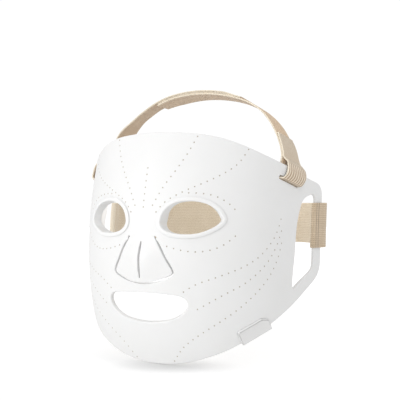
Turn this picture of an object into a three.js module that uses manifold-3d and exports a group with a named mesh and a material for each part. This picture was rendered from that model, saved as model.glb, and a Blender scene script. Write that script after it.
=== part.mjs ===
// LED face mask: a curved silicone mask with light strips inside, a soft eye shield
// in each eye opening, a hinged nose flap, an inlet housing on its lower edge, an
// elastic strap over the crown and an elastic band behind the head.
//
// Frame: millimetres, +Z up, the mask faces -Y. +X is the wearer's left.
// The origin is on the front face, on the centreline, at the height of the eyes.
import * as THREE from 'three';
import { mergeVertices } from 'three/addons/utils/BufferGeometryUtils.js';
import Module from 'manifold-3d';

const wasm = await Module();
wasm.setup();

// ---------------------------------------------------------------- dimensions
// Curved front surface: angle of the horizontal section at arc length s, and the
// depth of the centreline at height t.
const BEND = [1.0465e-2, -0.1162e-4, 0.0778e-6];      // rad per mm, mm2, mm3
const WING_START = 105;                                // mm, where the side wings begin
const WING_BEND = [-0.2127e-4, -1.742e-6];             // the wings run straighter
const PROFILE = [0.13452, 2.03904e-3, -4.62544e-6];    // depth of the centreline

// Layers, measured inward from the front surface (negative is towards the face)
const MASK_T = 3.6;            // whole thickness at the rim and wings
const BAR_T = 2.4;             // the side bars are thinner
const SHELL_T = 1.2;           // front skin over the light strips
const STRIP_TOP = -1.85, STRIP_BOTTOM = -2.1, STRIP_W = 2.6;
const BUS_W = 4.0;
const SKIN_TOP = -2.8;         // skin against the face
const RIM_W = 3.6;             // solid rim round the strips
const POCKET_S = 125;          // half width of the hollow between the skins
const GAP = 0.4;

// Outline: height of the upper and lower edge at arc length s
const TOP_EDGE = [[0, 70], [10.2, 69.8], [31.5, 68.4], [42.9, 67.1], [58.2, 64.2], [77, 58.4],
  [97.7, 51], [114, 45.7], [133, 40.2], [153.8, 34.3], [166, 31.2], [172, 29.6], [175.5, 27.6],
  [178, 24.4], [179.4, 20]];
const LOW_EDGE = [[0, -120], [13.9, -119.2], [30, -116.7], [40, -114], [52.6, -110], [64.3, -105.6],
  [77, -99.9], [105.3, -86.4], [119.3, -79.7], [149, -66.5], [163, -59.6], [170, -55.6],
  [175, -51.2], [178, -46], [179.4, -40]];

// Openings, as outlines in (s, t)
const EYE = [[16, -3.6], [16.8, 1.4], [18.9, 5.6], [23, 9.5], [29, 12.3], [38, 13.3], [46, 12.5],
  [53.3, 10.4], [59.8, 6.2], [64, 1.4], [65.1, -1.4], [61.7, -5.2], [53.5, -9.3], [45.4, -11.8],
  [37.6, -12.4], [29.6, -12], [22.2, -10.4], [17.7, -7.4]];
const MOUTH_HALF = [[0, -59.2], [7.6, -59.3], [17.4, -59.8], [24.4, -60.4], [31, -61.4],
  [35.4, -63.8], [36.9, -67.4], [35, -72.2], [28, -77.9], [19.7, -81.2], [9, -82.9], [0, -83.4]];
const NOSE_HOLE_HALF = [[0, -14], [12.8, -14], [15, -18.1], [19, -25.4], [22.9, -32.8],
  [27.7, -41], [28.1, -43.2], [26.6, -45.2], [22.1, -47.6], [13, -50.7], [6.1, -51.9], [0, -52.4]];
const FLAP_HALF = [[0, -14.4], [11.3, -14.4], [13.4, -18.6], [17.5, -25.9], [21.4, -33.3],
  [26, -41.4], [26.2, -43], [25, -44.2], [21.5, -46], [12.8, -49.2], [6, -50.4], [0, -50.9]];
const FLAP_SLIT = [[-0.65, -18.4], [0.65, -18.4], [0.65, -47], [-0.65, -47]];
const FLAP_T = 2.4, FLAP_HINGE_T = 1.2, FLAP_BULGE = 4;   // the flap is domed over the ridge of the nose
const SIDE_LOOP = [[167.4, 18.8], [160, 18.1], [151.1, 13.6], [147, 6], [143.7, -4.8], [142.3, -14],
  [141.6, -24], [140.4, -33], [138.9, -40.4], [135.6, -55.8], [135.9, -59.2], [138.6, -59.3],
  [150, -53.7], [164.6, -46.4], [167.8, -43.6], [169, -38], [169.6, -29.2], [170.2, -10],
  [170.4, 12.6], [169.6, 16.8]];

// Crown strap slot: its lower line, and the strap that passes through it
const SLOT_A = [114.6, 32.3], SLOT_B = [140.3, 25];
const SLOT_H = 3.4, SLOT_BELOW = 0.6, SLOT_OVER = 1;
const STRAP_W = 25.5, STRAP_T = 1.3;
const EDGE_V = 12.4;           // slot line to the mask's upper edge, along the surface
const PLY_OUT = 1.65, PLY_IN = -5.25;   // where the strap's two plies pass the edge
// Middle line of the strap from the mask's edge to the crown; it leans back, and its
// width runs mostly front to back
const ARCH = [[91.3, 85.8, 42], [90.9, 88.6, 48], [89, 91.6, 55], [86.2, 94.2, 61.5], [82.7, 96.7, 68.2],
  [75.5, 99.2, 79.6], [66.6, 101.3, 89.3], [56.1, 103, 96.8], [44.8, 104.1, 102.2], [33.3, 104.9, 105.9],
  [22.1, 105.5, 108.3], [11, 105.8, 109.8], [0, 105.9, 110.3]];
const ACROSS_SIDE = [0.2, 0.94, -0.26], ACROSS_CROWN = [0, 0.9965, -0.085];
const OVERLAP = 2.7;           // from ply to ply where the two halves hook together
const PATCH_T = 0.5;

// Band behind the head
const BAND_Z0 = -27, BAND_Z1 = 12, BAND_T = 1.3;
const BAR_S0 = 170.3, BAR_S1 = 179.4;
const BAND_OUT = 1.14, BAND_IN = -3.54;   // where the band's two plies pass the bar
const BAND_PATH = [[105.2, 125.7], [103.7, 133.7], [101.3, 144], [97.6, 156], [89.5, 172], [71.5, 188],
  [40, 199], [0, 203.5]];

// Light rows in (s, t), one side; the other side is its mirror image
const ROWS = {
  forehead_inner: [[8.6, 10.8], [15.6, 24.2], [24.2, 37.3], [32, 50.8], [36.2, 60]],
  forehead_outer: [[12.4, 6], [18.5, 12.7], [32.7, 20.9], [47.4, 27.4], [61.5, 34.3], [73.6, 42.6], [78, 48.4]],
  brow: [[40, 19.8], [48.2, 19.3], [59.2, 16.8], [69.3, 11.4], [74.6, 6.9]],
  under_eye: [[22.1, -22], [32.9, -24.9], [44.8, -26.1], [56.3, -24.8], [67, -20.7], [76.1, -14.1]],
  cheek_upper: [[117.6, -3.4], [112.6, -15.5], [102.5, -27.1], [83.2, -38.3], [61.1, -46], [44.5, -51.6], [35.4, -56.8]],
  cheek_middle: [[117.6, -14], [112.6, -26.2], [103.7, -37.3], [85.6, -50.5], [64.9, -60.4], [44.3, -71.2]],
  jaw: [[117, -30.4], [113, -38], [105.9, -47.5], [88.8, -63.6], [65, -79], [41.1, -93.6], [28.3, -103.2], [23, -108.6]],
};
const ROW_CENTRE = [[0, 40], [0, 24.5], [0, 8.7]];
const BUS = [[122.4, -31], [122.6, -14], [122.4, 2], [119, 16], [110, 27.5], [100, 36], [91, 42.4], [84.6, 46.6]];

// Inlet housing on the lower edge of the wearer's left side
const HOUSING_AT = [88.4, -89.5];
const HOUSING_DIR = [0.916, 0.4];
const HOUSING = { u: 13.5, v0: -5.8, v1: 5.6, n0: -5.2, split: -1.75, n1: 2.4, wall: 1.5, cutU: 5.2, cutV: 3.2 };
const INLET = { u: 4.5, h: 3.2, depth: 6.6, wall: 0.3 };

// ---------------------------------------------------------------- the surface
const theta = (s) => {
  const a = Math.abs(s), b = Math.max(0, a - WING_START);
  return Math.sign(s) * (BEND[0] * a + BEND[1] * a * a + BEND[2] * a ** 3
    + WING_BEND[0] * b * b + WING_BEND[1] * b ** 3);
};
const TABLE = [[0, 0]];
const simpson = (a, b) => {
  const m = (a + b) / 2, h = (b - a) / 6;
  return [h * (Math.cos(theta(a)) + 4 * Math.cos(theta(m)) + Math.cos(theta(b))),
    h * (Math.sin(theta(a)) + 4 * Math.sin(theta(m)) + Math.sin(theta(b)))];
};
for (let i = 1; i <= 200; i++) {
  const [dx, dy] = simpson(i - 1, i);
  TABLE.push([TABLE[i - 1][0] + dx, TABLE[i - 1][1] + dy]);
}
const plan = (s) => {
  const a = Math.abs(s), i = Math.floor(a), [dx, dy] = simpson(i, a);
  return [Math.sign(s) * (TABLE[i][0] + dx), TABLE[i][1] + dy];
};
const profile = (t) => PROFILE[0] * t + PROFILE[1] * t * t + PROFILE[2] * t ** 3;
const slope = (t) => PROFILE[0] + 2 * PROFILE[1] * t + 3 * PROFILE[2] * t * t;
const normal = (s, t) => new THREE.Vector3(Math.sin(theta(s)), -Math.cos(theta(s)),
  Math.cos(theta(s)) * slope(t)).normalize();
// the point at arc length s and height t, d outside the front surface
const at = (s, t, d = 0) => {
  const [x, y] = plan(s);
  return new THREE.Vector3(x, y + profile(t), t).addScaledVector(normal(s, t), d);
};
const lerpEdge = (edge, s) => {
  const a = Math.abs(s);
  for (let i = 1; i < edge.length; i++) {
    if (a <= edge[i][0]) {
      const [s0, t0] = edge[i - 1], [s1, t1] = edge[i];
      return t0 + (t1 - t0) * (a - s0) / (s1 - s0);
    }
  }
  return edge[edge.length - 1][1];
};

// ---------------------------------------------------------------- solids
const closed = (points, faces) => {
  let volume = 0;
  for (const [a, b, c] of faces) {
    volume += points[a].dot(new THREE.Vector3().crossVectors(points[b], points[c])) / 6;
  }
  const index = [];
  for (const [a, b, c] of faces) volume > 0 ? index.push(a, b, c) : index.push(a, c, b);
  const geometry = new THREE.BufferGeometry();
  geometry.setAttribute('position', new THREE.Float32BufferAttribute(points.flatMap((p) => [p.x, p.y, p.z]), 3));
  geometry.setIndex(index);
  return geometry;
};
const toSolid = (geometry) => {
  const g = geometry.clone();
  g.deleteAttribute('normal');
  g.deleteAttribute('uv');
  const m = mergeVertices(g, 1e-5);
  return new wasm.Manifold(new wasm.Mesh({
    numProp: 3,
    vertProperties: new Float32Array(m.attributes.position.array),
    triVerts: new Uint32Array(m.index.array),
  }));
};
const toGeometry = (solid) => {
  const m = solid.getMesh(), geometry = new THREE.BufferGeometry();
  geometry.setAttribute('position', new THREE.BufferAttribute(new Float32Array(m.vertProperties), 3));
  geometry.setIndex(new THREE.BufferAttribute(new Uint32Array(m.triVerts), 1));
  return geometry;
};
const cut = (base, ...tools) => toGeometry(tools.reduce((a, t) => a.subtract(toSolid(t)), toSolid(base)));

// a curved plate on a grid of columns (arc length) and rows (height)
const plate = (columns, rowsAt, top, bottom) => {
  const points = [], faces = [], rows = rowsAt(0).length, n = columns.length;
  const id = (layer, i, j) => (layer * n + i) * rows + j;
  for (const layer of [0, 1]) {
    for (const s of columns) {
      rowsAt(s).forEach((t, j) => points.push(at(s, t, layer === 0 ? top(s, t, j, rows) : bottom(s, t, j, rows))));
    }
  }
  const quad = (a, b, c, d) => faces.push([a, b, c], [a, c, d]);
  for (let i = 0; i + 1 < n; i++) {
    for (let j = 0; j + 1 < rows; j++) {
      quad(id(0, i, j), id(0, i + 1, j), id(0, i + 1, j + 1), id(0, i, j + 1));
      quad(id(1, i, j), id(1, i, j + 1), id(1, i + 1, j + 1), id(1, i + 1, j));
    }
    quad(id(0, i, 0), id(1, i, 0), id(1, i + 1, 0), id(0, i + 1, 0));
    quad(id(0, i, rows - 1), id(0, i + 1, rows - 1), id(1, i + 1, rows - 1), id(1, i, rows - 1));
  }
  for (let j = 0; j + 1 < rows; j++) {
    quad(id(0, 0, j), id(0, 0, j + 1), id(1, 0, j + 1), id(1, 0, j));
    quad(id(0, n - 1, j), id(1, n - 1, j), id(1, n - 1, j + 1), id(0, n - 1, j + 1));
  }
  return closed(points, faces);
};
// a section polygon carried through stations; place(a, b, k) gives the 3-D point
const carry = (polygon, stations, place) => {
  const ccw = THREE.ShapeUtils.isClockWise(polygon.map(([a, b]) => new THREE.Vector2(a, b))) ? [...polygon].reverse() : polygon;
  const caps = THREE.ShapeUtils.triangulateShape(ccw.map(([a, b]) => new THREE.Vector2(a, b)), []);
  const points = [], faces = [], n = ccw.length;
  for (let k = 0; k < stations; k++) for (const [a, b] of ccw) points.push(place(a, b, k));
  for (let k = 0; k + 1 < stations; k++) {
    for (let i = 0; i < n; i++) {
      const a = k * n + i, b = k * n + (i + 1) % n;
      faces.push([a, b, b + n], [a, b + n, a + n]);
    }
  }
  const last = (stations - 1) * n;
  for (const [a, b, c] of caps) { faces.push([a, c, b]); faces.push([last + a, last + b, last + c]); }
  return closed(points, faces);
};
const through = (outline, d0 = -13, d1 = 8) => carry(outline, 2, (s, t, k) => at(s, t, k ? d1 : d0));
const smooth = (points, count, loop = false) => {
  const curve = new THREE.CatmullRomCurve3(points.map(([a, b]) => new THREE.Vector3(a, b, 0)), loop, 'centripetal');
  curve.arcLengthDivisions = 600;
  const out = curve.getSpacedPoints(count).map((p) => [p.x, p.y]);
  return loop ? out.slice(0, count) : out;
};
const offset = (loop, distance) => loop.map(([x, y], i) => {
  const [ax, ay] = loop[(i + loop.length - 1) % loop.length], [bx, by] = loop[(i + 1) % loop.length];
  const l = Math.hypot(bx - ax, by - ay), sign = area(loop) > 0 ? 1 : -1;
  return [x + sign * distance * (by - ay) / l, y - sign * distance * (bx - ax) / l];
});
const area = (loop) => loop.reduce((a, [x, y], i) => {
  const [u, v] = loop[(i + 1) % loop.length];
  return a + (x * v - u * y) / 2;
}, 0);
const mirrored = (half) => [...half, ...half.slice(1, -1).reverse().map(([s, t]) => [-s, t])];
const flip = (outline, side) => outline.map(([s, t]) => [side * s, t]);
const box = (u0, u1, v0, v1, n0, n1) => new THREE.BoxGeometry(u1 - u0, v1 - v0, n1 - n0)
  .translate((u0 + u1) / 2, (v0 + v1) / 2, (n0 + n1) / 2);

// ---------------------------------------------------------------- the model
const mask = new THREE.Group();
const add = (name, geometry, color, roughness, metalness = 0) => {
  const mesh = new THREE.Mesh(geometry, new THREE.MeshStandardMaterial({ color, roughness, metalness }));
  mesh.name = name;
  mask.add(mesh);
  return mesh;
};
const WHITE = 0xf3f3f2, SKIN = 0xeceae6, BEIGE = 0xc9b594, HOOK = 0xd8c8aa, AMBER = 0xd9a441, GREEN = 0x2f6b4a, STEEL = 0xb9bcc0;

// housing frame: u along the lower edge, v up across it, n out of the mask
const housingFrame = (() => {
  const [s, t] = HOUSING_AT, n = normal(s, t);
  const es = new THREE.Vector3(Math.cos(theta(s)), Math.sin(theta(s)), 0), et = new THREE.Vector3(0, slope(t), 1);
  const u = es.multiplyScalar(HOUSING_DIR[0]).addScaledVector(et, HOUSING_DIR[1]);
  u.addScaledVector(n, -u.dot(n)).normalize();
  const v = new THREE.Vector3().crossVectors(n, u);
  return new THREE.Matrix4().makeBasis(u, v, n).setPosition(at(s, t));
})();
const inHousing = (geometry) => geometry.applyMatrix4(housingFrame);
const H = HOUSING;
// outline of the housing; its upper corner away from the chin is cut back
const housingSolid = (n0, n1, grow = 0, drop = 0) => {
  const c = 1.2, u = H.u + grow, v = H.v1 + grow, shape = new THREE.Shape();
  [[-u, H.v0 - drop], [u, H.v0 - drop], [u, v - H.cutV], [u - H.cutU, v], [-u + c, v], [-u, v - c]]
    .forEach(([a, b], i) => (i ? shape.lineTo(a, b) : shape.moveTo(a, b)));
  shape.closePath();
  return new THREE.ExtrudeGeometry(shape, { depth: n1 - n0, bevelEnabled: false }).translate(0, 0, n0);
};
const notch = inHousing(housingSolid(-14, 9, GAP, 9));

// slot frame in (s, t): w along the slot, v up towards the edge
const slotLength = Math.hypot(SLOT_B[0] - SLOT_A[0], SLOT_B[1] - SLOT_A[1]);
const SLOT_E = [(SLOT_B[0] - SLOT_A[0]) / slotLength, (SLOT_B[1] - SLOT_A[1]) / slotLength];
const slotPoint = (w, v, side) => [side * (SLOT_A[0] + SLOT_E[0] * w - SLOT_E[1] * v), SLOT_A[1] + SLOT_E[1] * w + SLOT_E[0] * v];
const slotMid = slotLength / 2;
const slotHole = (side) => {
  const half = STRAP_W / 2 + SLOT_OVER, v0 = -SLOT_BELOW, v1 = SLOT_H - SLOT_BELOW;
  return through([[-half, v0], [half, v0], [half, v1], [-half, v1]].map(([w, v]) => slotPoint(slotMid + w, v, side)));
};

// Front skin, with a solid rim and bars, and a shallow hollow behind it for the strips
const halfColumns = [9.5, 19, 28.5, 38, 47.5, 57, 66.5, 76, 85.5, 95, 104.5, 110, 115.5, POCKET_S, POCKET_S + 0.6, 134, 143, 152, 161, 168, 172, 175.5, 178, 179.4];
const columns = [...halfColumns.map((s) => -s).reverse(), 0, ...halfColumns];
const rowsBetween = (low, high, count) => Array.from({ length: count + 1 }, (_, k) => low + (high - low) * k / count);
// upper limit of the hollow: below the rim, and below the strap slot further out
const hollowTop = (s, inset) => {
  const a = Math.abs(s) + 2 * inset, b = Math.min(1, Math.max(0, (a - 110) / 5.5));
  return (1 - b) * (lerpEdge(TOP_EDGE, s) - RIM_W - 0.6 - inset) + b * (27 - inset - 0.4 * Math.max(0, a - 115.5));
};
const shellRows = (s) => {
  const low = lerpEdge(LOW_EDGE, s), high = lerpEdge(TOP_EDGE, s), r = RIM_W + 0.6, top = hollowTop(s, 0);
  return [low, low + RIM_W, ...rowsBetween(low + r, top, 11), top + 0.6, high];
};
const ease = (x) => { const r = Math.min(1, Math.max(0, x)); return r * r * (3 - 2 * r); };
const thickness = (s) => MASK_T - (MASK_T - BAR_T) * ease((Math.abs(s) - 143) / 18);
const shellPlate = plate(columns, shellRows, () => 0,
  (s, t, j, rows) => (Math.abs(s) <= POCKET_S && j >= 2 && j <= rows - 3 ? -SHELL_T : -thickness(s)));
const eyeLoop = smooth(EYE, 30, true);
const eyeTools = (distance) => [1, -1].map((side) => through(flip(offset(eyeLoop, distance), side)));
add('front_shell', cut(shellPlate, ...eyeTools(2), through(mirrored(MOUTH_HALF)), through(mirrored(NOSE_HOLE_HALF)),
  slotHole(1), slotHole(-1), through(SIDE_LOOP), through(flip(SIDE_LOOP, -1)), notch), WHITE, 0.55);

// Skin against the face, inside the rim
const skinS = POCKET_S - GAP;
const skinHalf = [...halfColumns.filter((s) => s < 105), 110 - 2 * GAP, 115.5 - 2 * GAP, skinS];
const skinColumns = [...skinHalf.map((s) => -s).reverse(), 0, ...skinHalf];
const skinRows = (s) => rowsBetween(lerpEdge(LOW_EDGE, s) + RIM_W + 0.6 + GAP, hollowTop(s, GAP), 10);
add('rear_skin', cut(plate(skinColumns, skinRows, () => SKIN_TOP, () => -MASK_T), ...eyeTools(2),
  through(mirrored(MOUTH_HALF)), through(mirrored(NOSE_HOLE_HALF)), notch), SKIN, 0.6);

// Light strips and the ribbon that feeds them, between the two skins
const strip = (path, count, width, side) => {
  const points = smooth(path, count).map(([s, t]) => [side * s, t]);
  return carry([[-width / 2, STRIP_BOTTOM], [width / 2, STRIP_BOTTOM], [width / 2, STRIP_TOP], [-width / 2, STRIP_TOP]], points.length, (a, d, k) => {
    const [s0, t0] = points[Math.max(0, k - 1)], [s1, t1] = points[Math.min(points.length - 1, k + 1)];
    const l = Math.hypot(s1 - s0, t1 - t0);
    return at(points[k][0] - a * (t1 - t0) / l, points[k][1] + a * (s1 - s0) / l, d);
  });
};
const STRIP_STEPS = { forehead_inner: 6, forehead_outer: 9, brow: 5, under_eye: 7, cheek_upper: 10, cheek_middle: 9, jaw: 12 };
add('led_strip_centre', strip(ROW_CENTRE, 3, STRIP_W, 1), AMBER, 0.5);
for (const [side, tag] of [[1, 'left'], [-1, 'right']]) {
  for (const [name, path] of Object.entries(ROWS)) add(`led_strip_${name}_${tag}`, strip(path, STRIP_STEPS[name], STRIP_W, side), AMBER, 0.5);
  add(`flex_ribbon_${tag}`, strip(BUS, 9, BUS_W, side), 0xc98c2c, 0.45);
}

// Eye shields: a raised lip outside, a wall that goes back to the eye socket and a
// bead that holds it in; the wall is deeper at the nose than at the temple
const shieldDepth = (s) => 15 - 9.2 * Math.min(1, Math.max(0, (Math.abs(s) - 18) / 44));
const shield = (side) => {
  const loop = flip(eyeLoop, side);
  const section = (s, t) => {
    const depth = shieldDepth(s), draft = 0.03 - 0.17 * ease(t / 10);
    return [[0, 0.9], [0.6, 1.3], [2.6, 1.2], [3.4, 0.8], [3.4, 0.35], [1.5, 0.35], [1.5, -4.2], [3.1, -4.4], [3.1, -5.1],
      [1.4, -5.5], [1.5 - draft * depth, -depth], [0.2 - draft * depth, -depth]];
  };
  const rings = loop.map(([s, t]) => section(s, t)), m = rings[0].length, n = loop.length, points = [], faces = [];
  for (let i = 0; i < n; i++) {
    for (let k = 0; k < m; k++) {
      const [o, d] = rings[i][k], [s, t] = offset(loop, o)[i];
      points.push(at(s, t, d));
    }
  }
  for (let i = 0; i < n; i++) {
    for (let k = 0; k < m; k++) {
      const a = i * m + k, b = i * m + (k + 1) % m, c = ((i + 1) % n) * m + (k + 1) % m, d = ((i + 1) % n) * m + k;
      faces.push([a, b, c], [a, c, d]);
    }
  }
  return closed(points, faces);
};
add('eye_shield_left', shield(1), WHITE, 0.5);
add('eye_shield_right', shield(-1), WHITE, 0.5);

// Nose flap: domed, split by a slit along its middle, hinged along its upper edge
const bulge = (s, t) => {
  const r = Math.min(1, Math.max(0, (-14.4 - t) / 18)), e = Math.min(1, Math.max(0, (t + 54) / 14));
  return FLAP_BULGE * (3 * r * r - 2 * r ** 3) * (0.55 + 0.45 * e) * Math.exp(-((s / 15) ** 2));
};
const flapAcross = (t) => {
  for (let i = 2; i < FLAP_HALF.length; i++) {
    const [s0, t0] = FLAP_HALF[i - 1], [s1, t1] = FLAP_HALF[i];
    if (t <= t0 && t >= t1) return s0 + (s1 - s0) * (t - t0) / (t1 - t0 || 1);
  }
  return 0;
};
const flapSolid = (() => {
  const heights = [-14.4, -18.6, -22, -25.9, -29.6, -33.3, -37.3, -41.4, -43, -44.2, -46, -47.6, -49.2, -50.4, -50.8];
  const n = 10, points = [], faces = [], id = (layer, j, i) => (layer * heights.length + j) * (n + 1) + i;
  for (const layer of [0, 1]) {
    for (const t of heights) {
      const w = flapAcross(t);
      for (let i = 0; i <= n; i++) {
        const s = w * (2 * i / n - 1);
        points.push(at(s, t, bulge(s, t) - (layer ? (t > -15 ? FLAP_HINGE_T : FLAP_T) : 0)));
      }
    }
  }
  const quad = (a, b, c, d) => faces.push([a, b, c], [a, c, d]);
  for (let j = 0; j + 1 < heights.length; j++) {
    for (let i = 0; i < n; i++) {
      quad(id(0, j, i), id(0, j + 1, i), id(0, j + 1, i + 1), id(0, j, i + 1));
      quad(id(1, j, i), id(1, j, i + 1), id(1, j + 1, i + 1), id(1, j + 1, i));
    }
    quad(id(0, j, 0), id(1, j, 0), id(1, j + 1, 0), id(0, j + 1, 0));
    quad(id(0, j, n), id(0, j + 1, n), id(1, j + 1, n), id(1, j, n));
  }
  for (let i = 0; i < n; i++) {
    quad(id(0, 0, i), id(0, 0, i + 1), id(1, 0, i + 1), id(1, 0, i));
    const j = heights.length - 1;
    quad(id(0, j, i), id(1, j, i), id(1, j, i + 1), id(0, j, i + 1));
  }
  return closed(points, faces);
})();
add('nose_flap', cut(flapSolid, through(FLAP_SLIT, -9, 12)), WHITE, 0.55);

// Inlet housing: two half shells gripping the lower edge, with the inlet and its board
const inletMid = H.split;
const inletWell = box(-INLET.u - 0.35, INLET.u + 0.35, H.v0 - 3, H.v0 + 3, inletMid - INLET.h / 2 - 0.35, inletMid + INLET.h / 2 + 0.35);
const cavity = (n0, n1) => box(-H.u + H.wall, H.u - H.wall - 1, H.v0 + H.wall, H.v1 - H.wall - 1, n0, n1);
add('inlet_housing_front', inHousing(cut(housingSolid(H.split + 0.16, H.n1), cavity(H.split - 2, H.n1 - 1.3), inletWell)), WHITE, 0.45);
add('inlet_housing_back', inHousing(cut(housingSolid(H.n0, H.split - 0.16), cavity(H.n0 + 1.3, H.split + 2), inletWell)), WHITE, 0.45);
add('charging_inlet', (() => {
  const v0 = H.v0 + 0.3, v1 = v0 + INLET.depth, w = INLET.wall, h = INLET.h / 2;
  const can = toSolid(box(-INLET.u, INLET.u, v0, v1, inletMid - h, inletMid + h))
    .subtract(toSolid(box(-INLET.u + w, INLET.u - w, v0 - 1, v1 - 0.8, inletMid - h + w, inletMid + h - w)))
    .add(toSolid(box(-3.3, 3.3, v0 + 0.8, v1 - 0.4, inletMid - 0.35, inletMid + 0.35)));
  return inHousing(toGeometry(can));
})(), STEEL, 0.3, 0.9);
add('driver_board', inHousing(box(-H.u + H.wall + 0.4, H.u - H.wall - 1.4, H.v0 + H.wall + 0.4, H.v1 - H.wall - 1.4,
  inletMid + INLET.h / 2 + 0.35, inletMid + INLET.h / 2 + 0.9)), GREEN, 0.5);

// Crown strap ends: each passes down behind the upper edge, through the slot and up outside
const wrapSection = (() => {
  const h = STRAP_T / 2, low = 0.35, top = EDGE_V + 1.1;
  return [[top, PLY_OUT + h], [top, PLY_OUT - h], [low + STRAP_T, PLY_OUT - h], [low + STRAP_T, PLY_IN + h], [top, PLY_IN + h], [top, PLY_IN - h],
    [low + 0.7, PLY_IN - h], [low, PLY_IN - h + 0.7], [low, PLY_OUT + h - 0.7], [low + 0.7, PLY_OUT + h]];
})();
const wrap = (side) => {
  const steps = 5;
  return carry(wrapSection, steps, (v, d, k) => {
    const [s, t] = slotPoint(slotMid + STRAP_W * (k / (steps - 1) - 0.5), v, side);
    return at(s, t, d);
  });
};
add('crown_strap_wrap_left', wrap(1), BEIGE, 0.9);
add('crown_strap_wrap_right', wrap(-1), BEIGE, 0.9);

// Crown strap spans: ribbons along an arch that leans back
const archCurve = (() => {
  const full = [...ARCH.map(([x, y, z]) => new THREE.Vector3(-x, y, z)),
    ...ARCH.slice(0, -1).reverse().map(([x, y, z]) => new THREE.Vector3(x, y, z))];
  const curve = new THREE.CatmullRomCurve3(full, false, 'centripetal');
  curve.arcLengthDivisions = 600;
  return curve.getSpacedPoints(160);
})();
const LAST = archCurve.length - 1;
const archStep = archCurve.slice(1).reduce((l, p, i) => l + p.distanceTo(archCurve[i]), 0) / LAST;
const archAt = (i, out, across) => {
  const k = Math.max(0, Math.min(LAST, i)), p = archCurve[k];
  const along = archCurve[Math.min(LAST, k + 1)].clone().sub(archCurve[Math.max(0, k - 1)]).normalize();
  const e = ease((Math.abs(p.x) - 30) / 60), w = new THREE.Vector3(...ACROSS_CROWN).lerp(new THREE.Vector3(Math.sign(p.x) * ACROSS_SIDE[0], ACROSS_SIDE[1], ACROSS_SIDE[2]), e);
  w.addScaledVector(along, -w.dot(along)).normalize();
  const n = new THREE.Vector3().crossVectors(along, w).normalize();
  return p.clone().addScaledVector(n, out).addScaledVector(w, across);
};
// where a ribbon meets a wrap its end is a half circle about the strap's swing axis
const endHalfWidth = (i, width) => {
  const e = Math.min(i, LAST - i) * archStep, r = STRAP_W / 2;
  return e >= r ? width / 2 : Math.min(width / 2, Math.max(2.2, Math.sqrt(r * r - (r - e) ** 2)));
};
const ribbon = (from, to, step, lift, width = STRAP_W, thick = STRAP_T) => {
  const near = [0, 1, 2, 4, 7].flatMap((i) => [i, LAST - i]), stations = new Set([from, to, ...near.filter((i) => i > from && i < to)]);
  for (let i = Math.ceil(from / step) * step; i < to; i += step) if (Math.min(i, LAST - i) > 8) stations.add(i);
  const along = [...stations].sort((a, b) => a - b);
  return carry([[-1, -thick / 2], [1, -thick / 2], [1, thick / 2], [-1, thick / 2]], along.length,
    (a, b, k) => archAt(along[k], lift(along[k]) + b, a * endHalfWidth(along[k], width)));
};
const nearest = (x) => archCurve.reduce((best, p, i) => (Math.abs(p.x - x) < Math.abs(archCurve[best].x - x) ? i : best), 40);
const innerEnd = nearest(-41), outerEnd = nearest(44);
add('crown_strap_left_half', ribbon(innerEnd, LAST, 4, () => 0), BEIGE, 0.9);
add('crown_strap_right_half', ribbon(0, outerEnd, 4, (i) => OVERLAP * ease((i - 12) / 26)), BEIGE, 0.9);
add('crown_strap_overlap_hook', ribbon(nearest(-34), nearest(38), 4, () => OVERLAP / 2, STRAP_W - 4, PATCH_T), HOOK, 0.95);
const tabLift = (i) => OVERLAP + 4.2 * (1 - ease((LAST - i) / 13));
const TAB_TOP = LAST - 18;
add('crown_strap_tab', ribbon(TAB_TOP, LAST, 2, tabLift), BEIGE, 0.9);
add('crown_strap_tab_hook', ribbon(TAB_TOP + 1, LAST - 12, 2, () => OVERLAP / 2, STRAP_W - 4, PATCH_T), HOOK, 0.95);
add('crown_strap_right_end', ribbon(0, 17, 3, (i) => OVERLAP * ease((i - 12) / 26) + 2 + 4.9 * (1 - ease(i / 12))), BEIGE, 0.9);

// Rear band: it passes through each side loop and folds back round the bar
const bandWrap = (side) => {
  const h = BAND_T / 2, s0 = BAR_S0 - 2.3, s1 = BAR_S1 + 1.6, out = BAND_OUT, inn = BAND_IN;
  const mid = (s0 + s1 + 1) / 2;
  const section = [[s1, out + h], [s1, out - h], [mid, out - h], [s0 + BAND_T, out - h], [s0 + BAND_T, inn + h], [mid, inn + h], [s1, inn + h],
    [s1, inn - h], [mid, inn - h], [s0 + 0.8, inn - h], [s0, inn - h + 0.8], [s0, out + h - 0.8], [s0 + 0.8, out + h], [mid, out + h]];
  const steps = 5;
  return carry(section, steps, (s, d, k) => at(side * s, BAND_Z0 + (BAND_Z1 - BAND_Z0) * k / (steps - 1), d));
};
add('rear_band_wrap_left', bandWrap(1), BEIGE, 0.9);
add('rear_band_wrap_right', bandWrap(-1), BEIGE, 0.9);
const bandCurve = (() => {
  const full = [...BAND_PATH.map(([x, y]) => [-x, y]), ...BAND_PATH.slice(0, -1).reverse()];
  return smooth(full, 120);
})();
const BAND_LAST = bandCurve.length - 1;
const bandAt = (i, out, z) => {
  const [x, y] = bandCurve[i], [x0, y0] = bandCurve[Math.max(0, i - 1)], [x1, y1] = bandCurve[Math.min(BAND_LAST, i + 1)];
  const l = Math.hypot(x1 - x0, y1 - y0), end = Math.min(i, BAND_LAST - i), follow = 1 - ease(end / 14);
  return new THREE.Vector3(x - out * (y1 - y0) / l, y + out * (x1 - x0) / l + follow * profile(z), z);
};
const bandRibbon = (from, to, step, lift, z0 = BAND_Z0, z1 = BAND_Z1, thick = BAND_T) => {
  const stations = [from];
  for (let i = (Math.floor(from / step) + 1) * step; i < to; i += step) stations.push(i);
  stations.push(to);
  const zs = [z0, (2 * z0 + z1) / 3, (z0 + 2 * z1) / 3, z1];
  return carry([...zs.map((z) => [z, -thick / 2]), ...[...zs].reverse().map((z) => [z, thick / 2])], stations.length,
    (z, b, k) => bandAt(stations[k], lift(stations[k]) + b, z));
};
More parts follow.
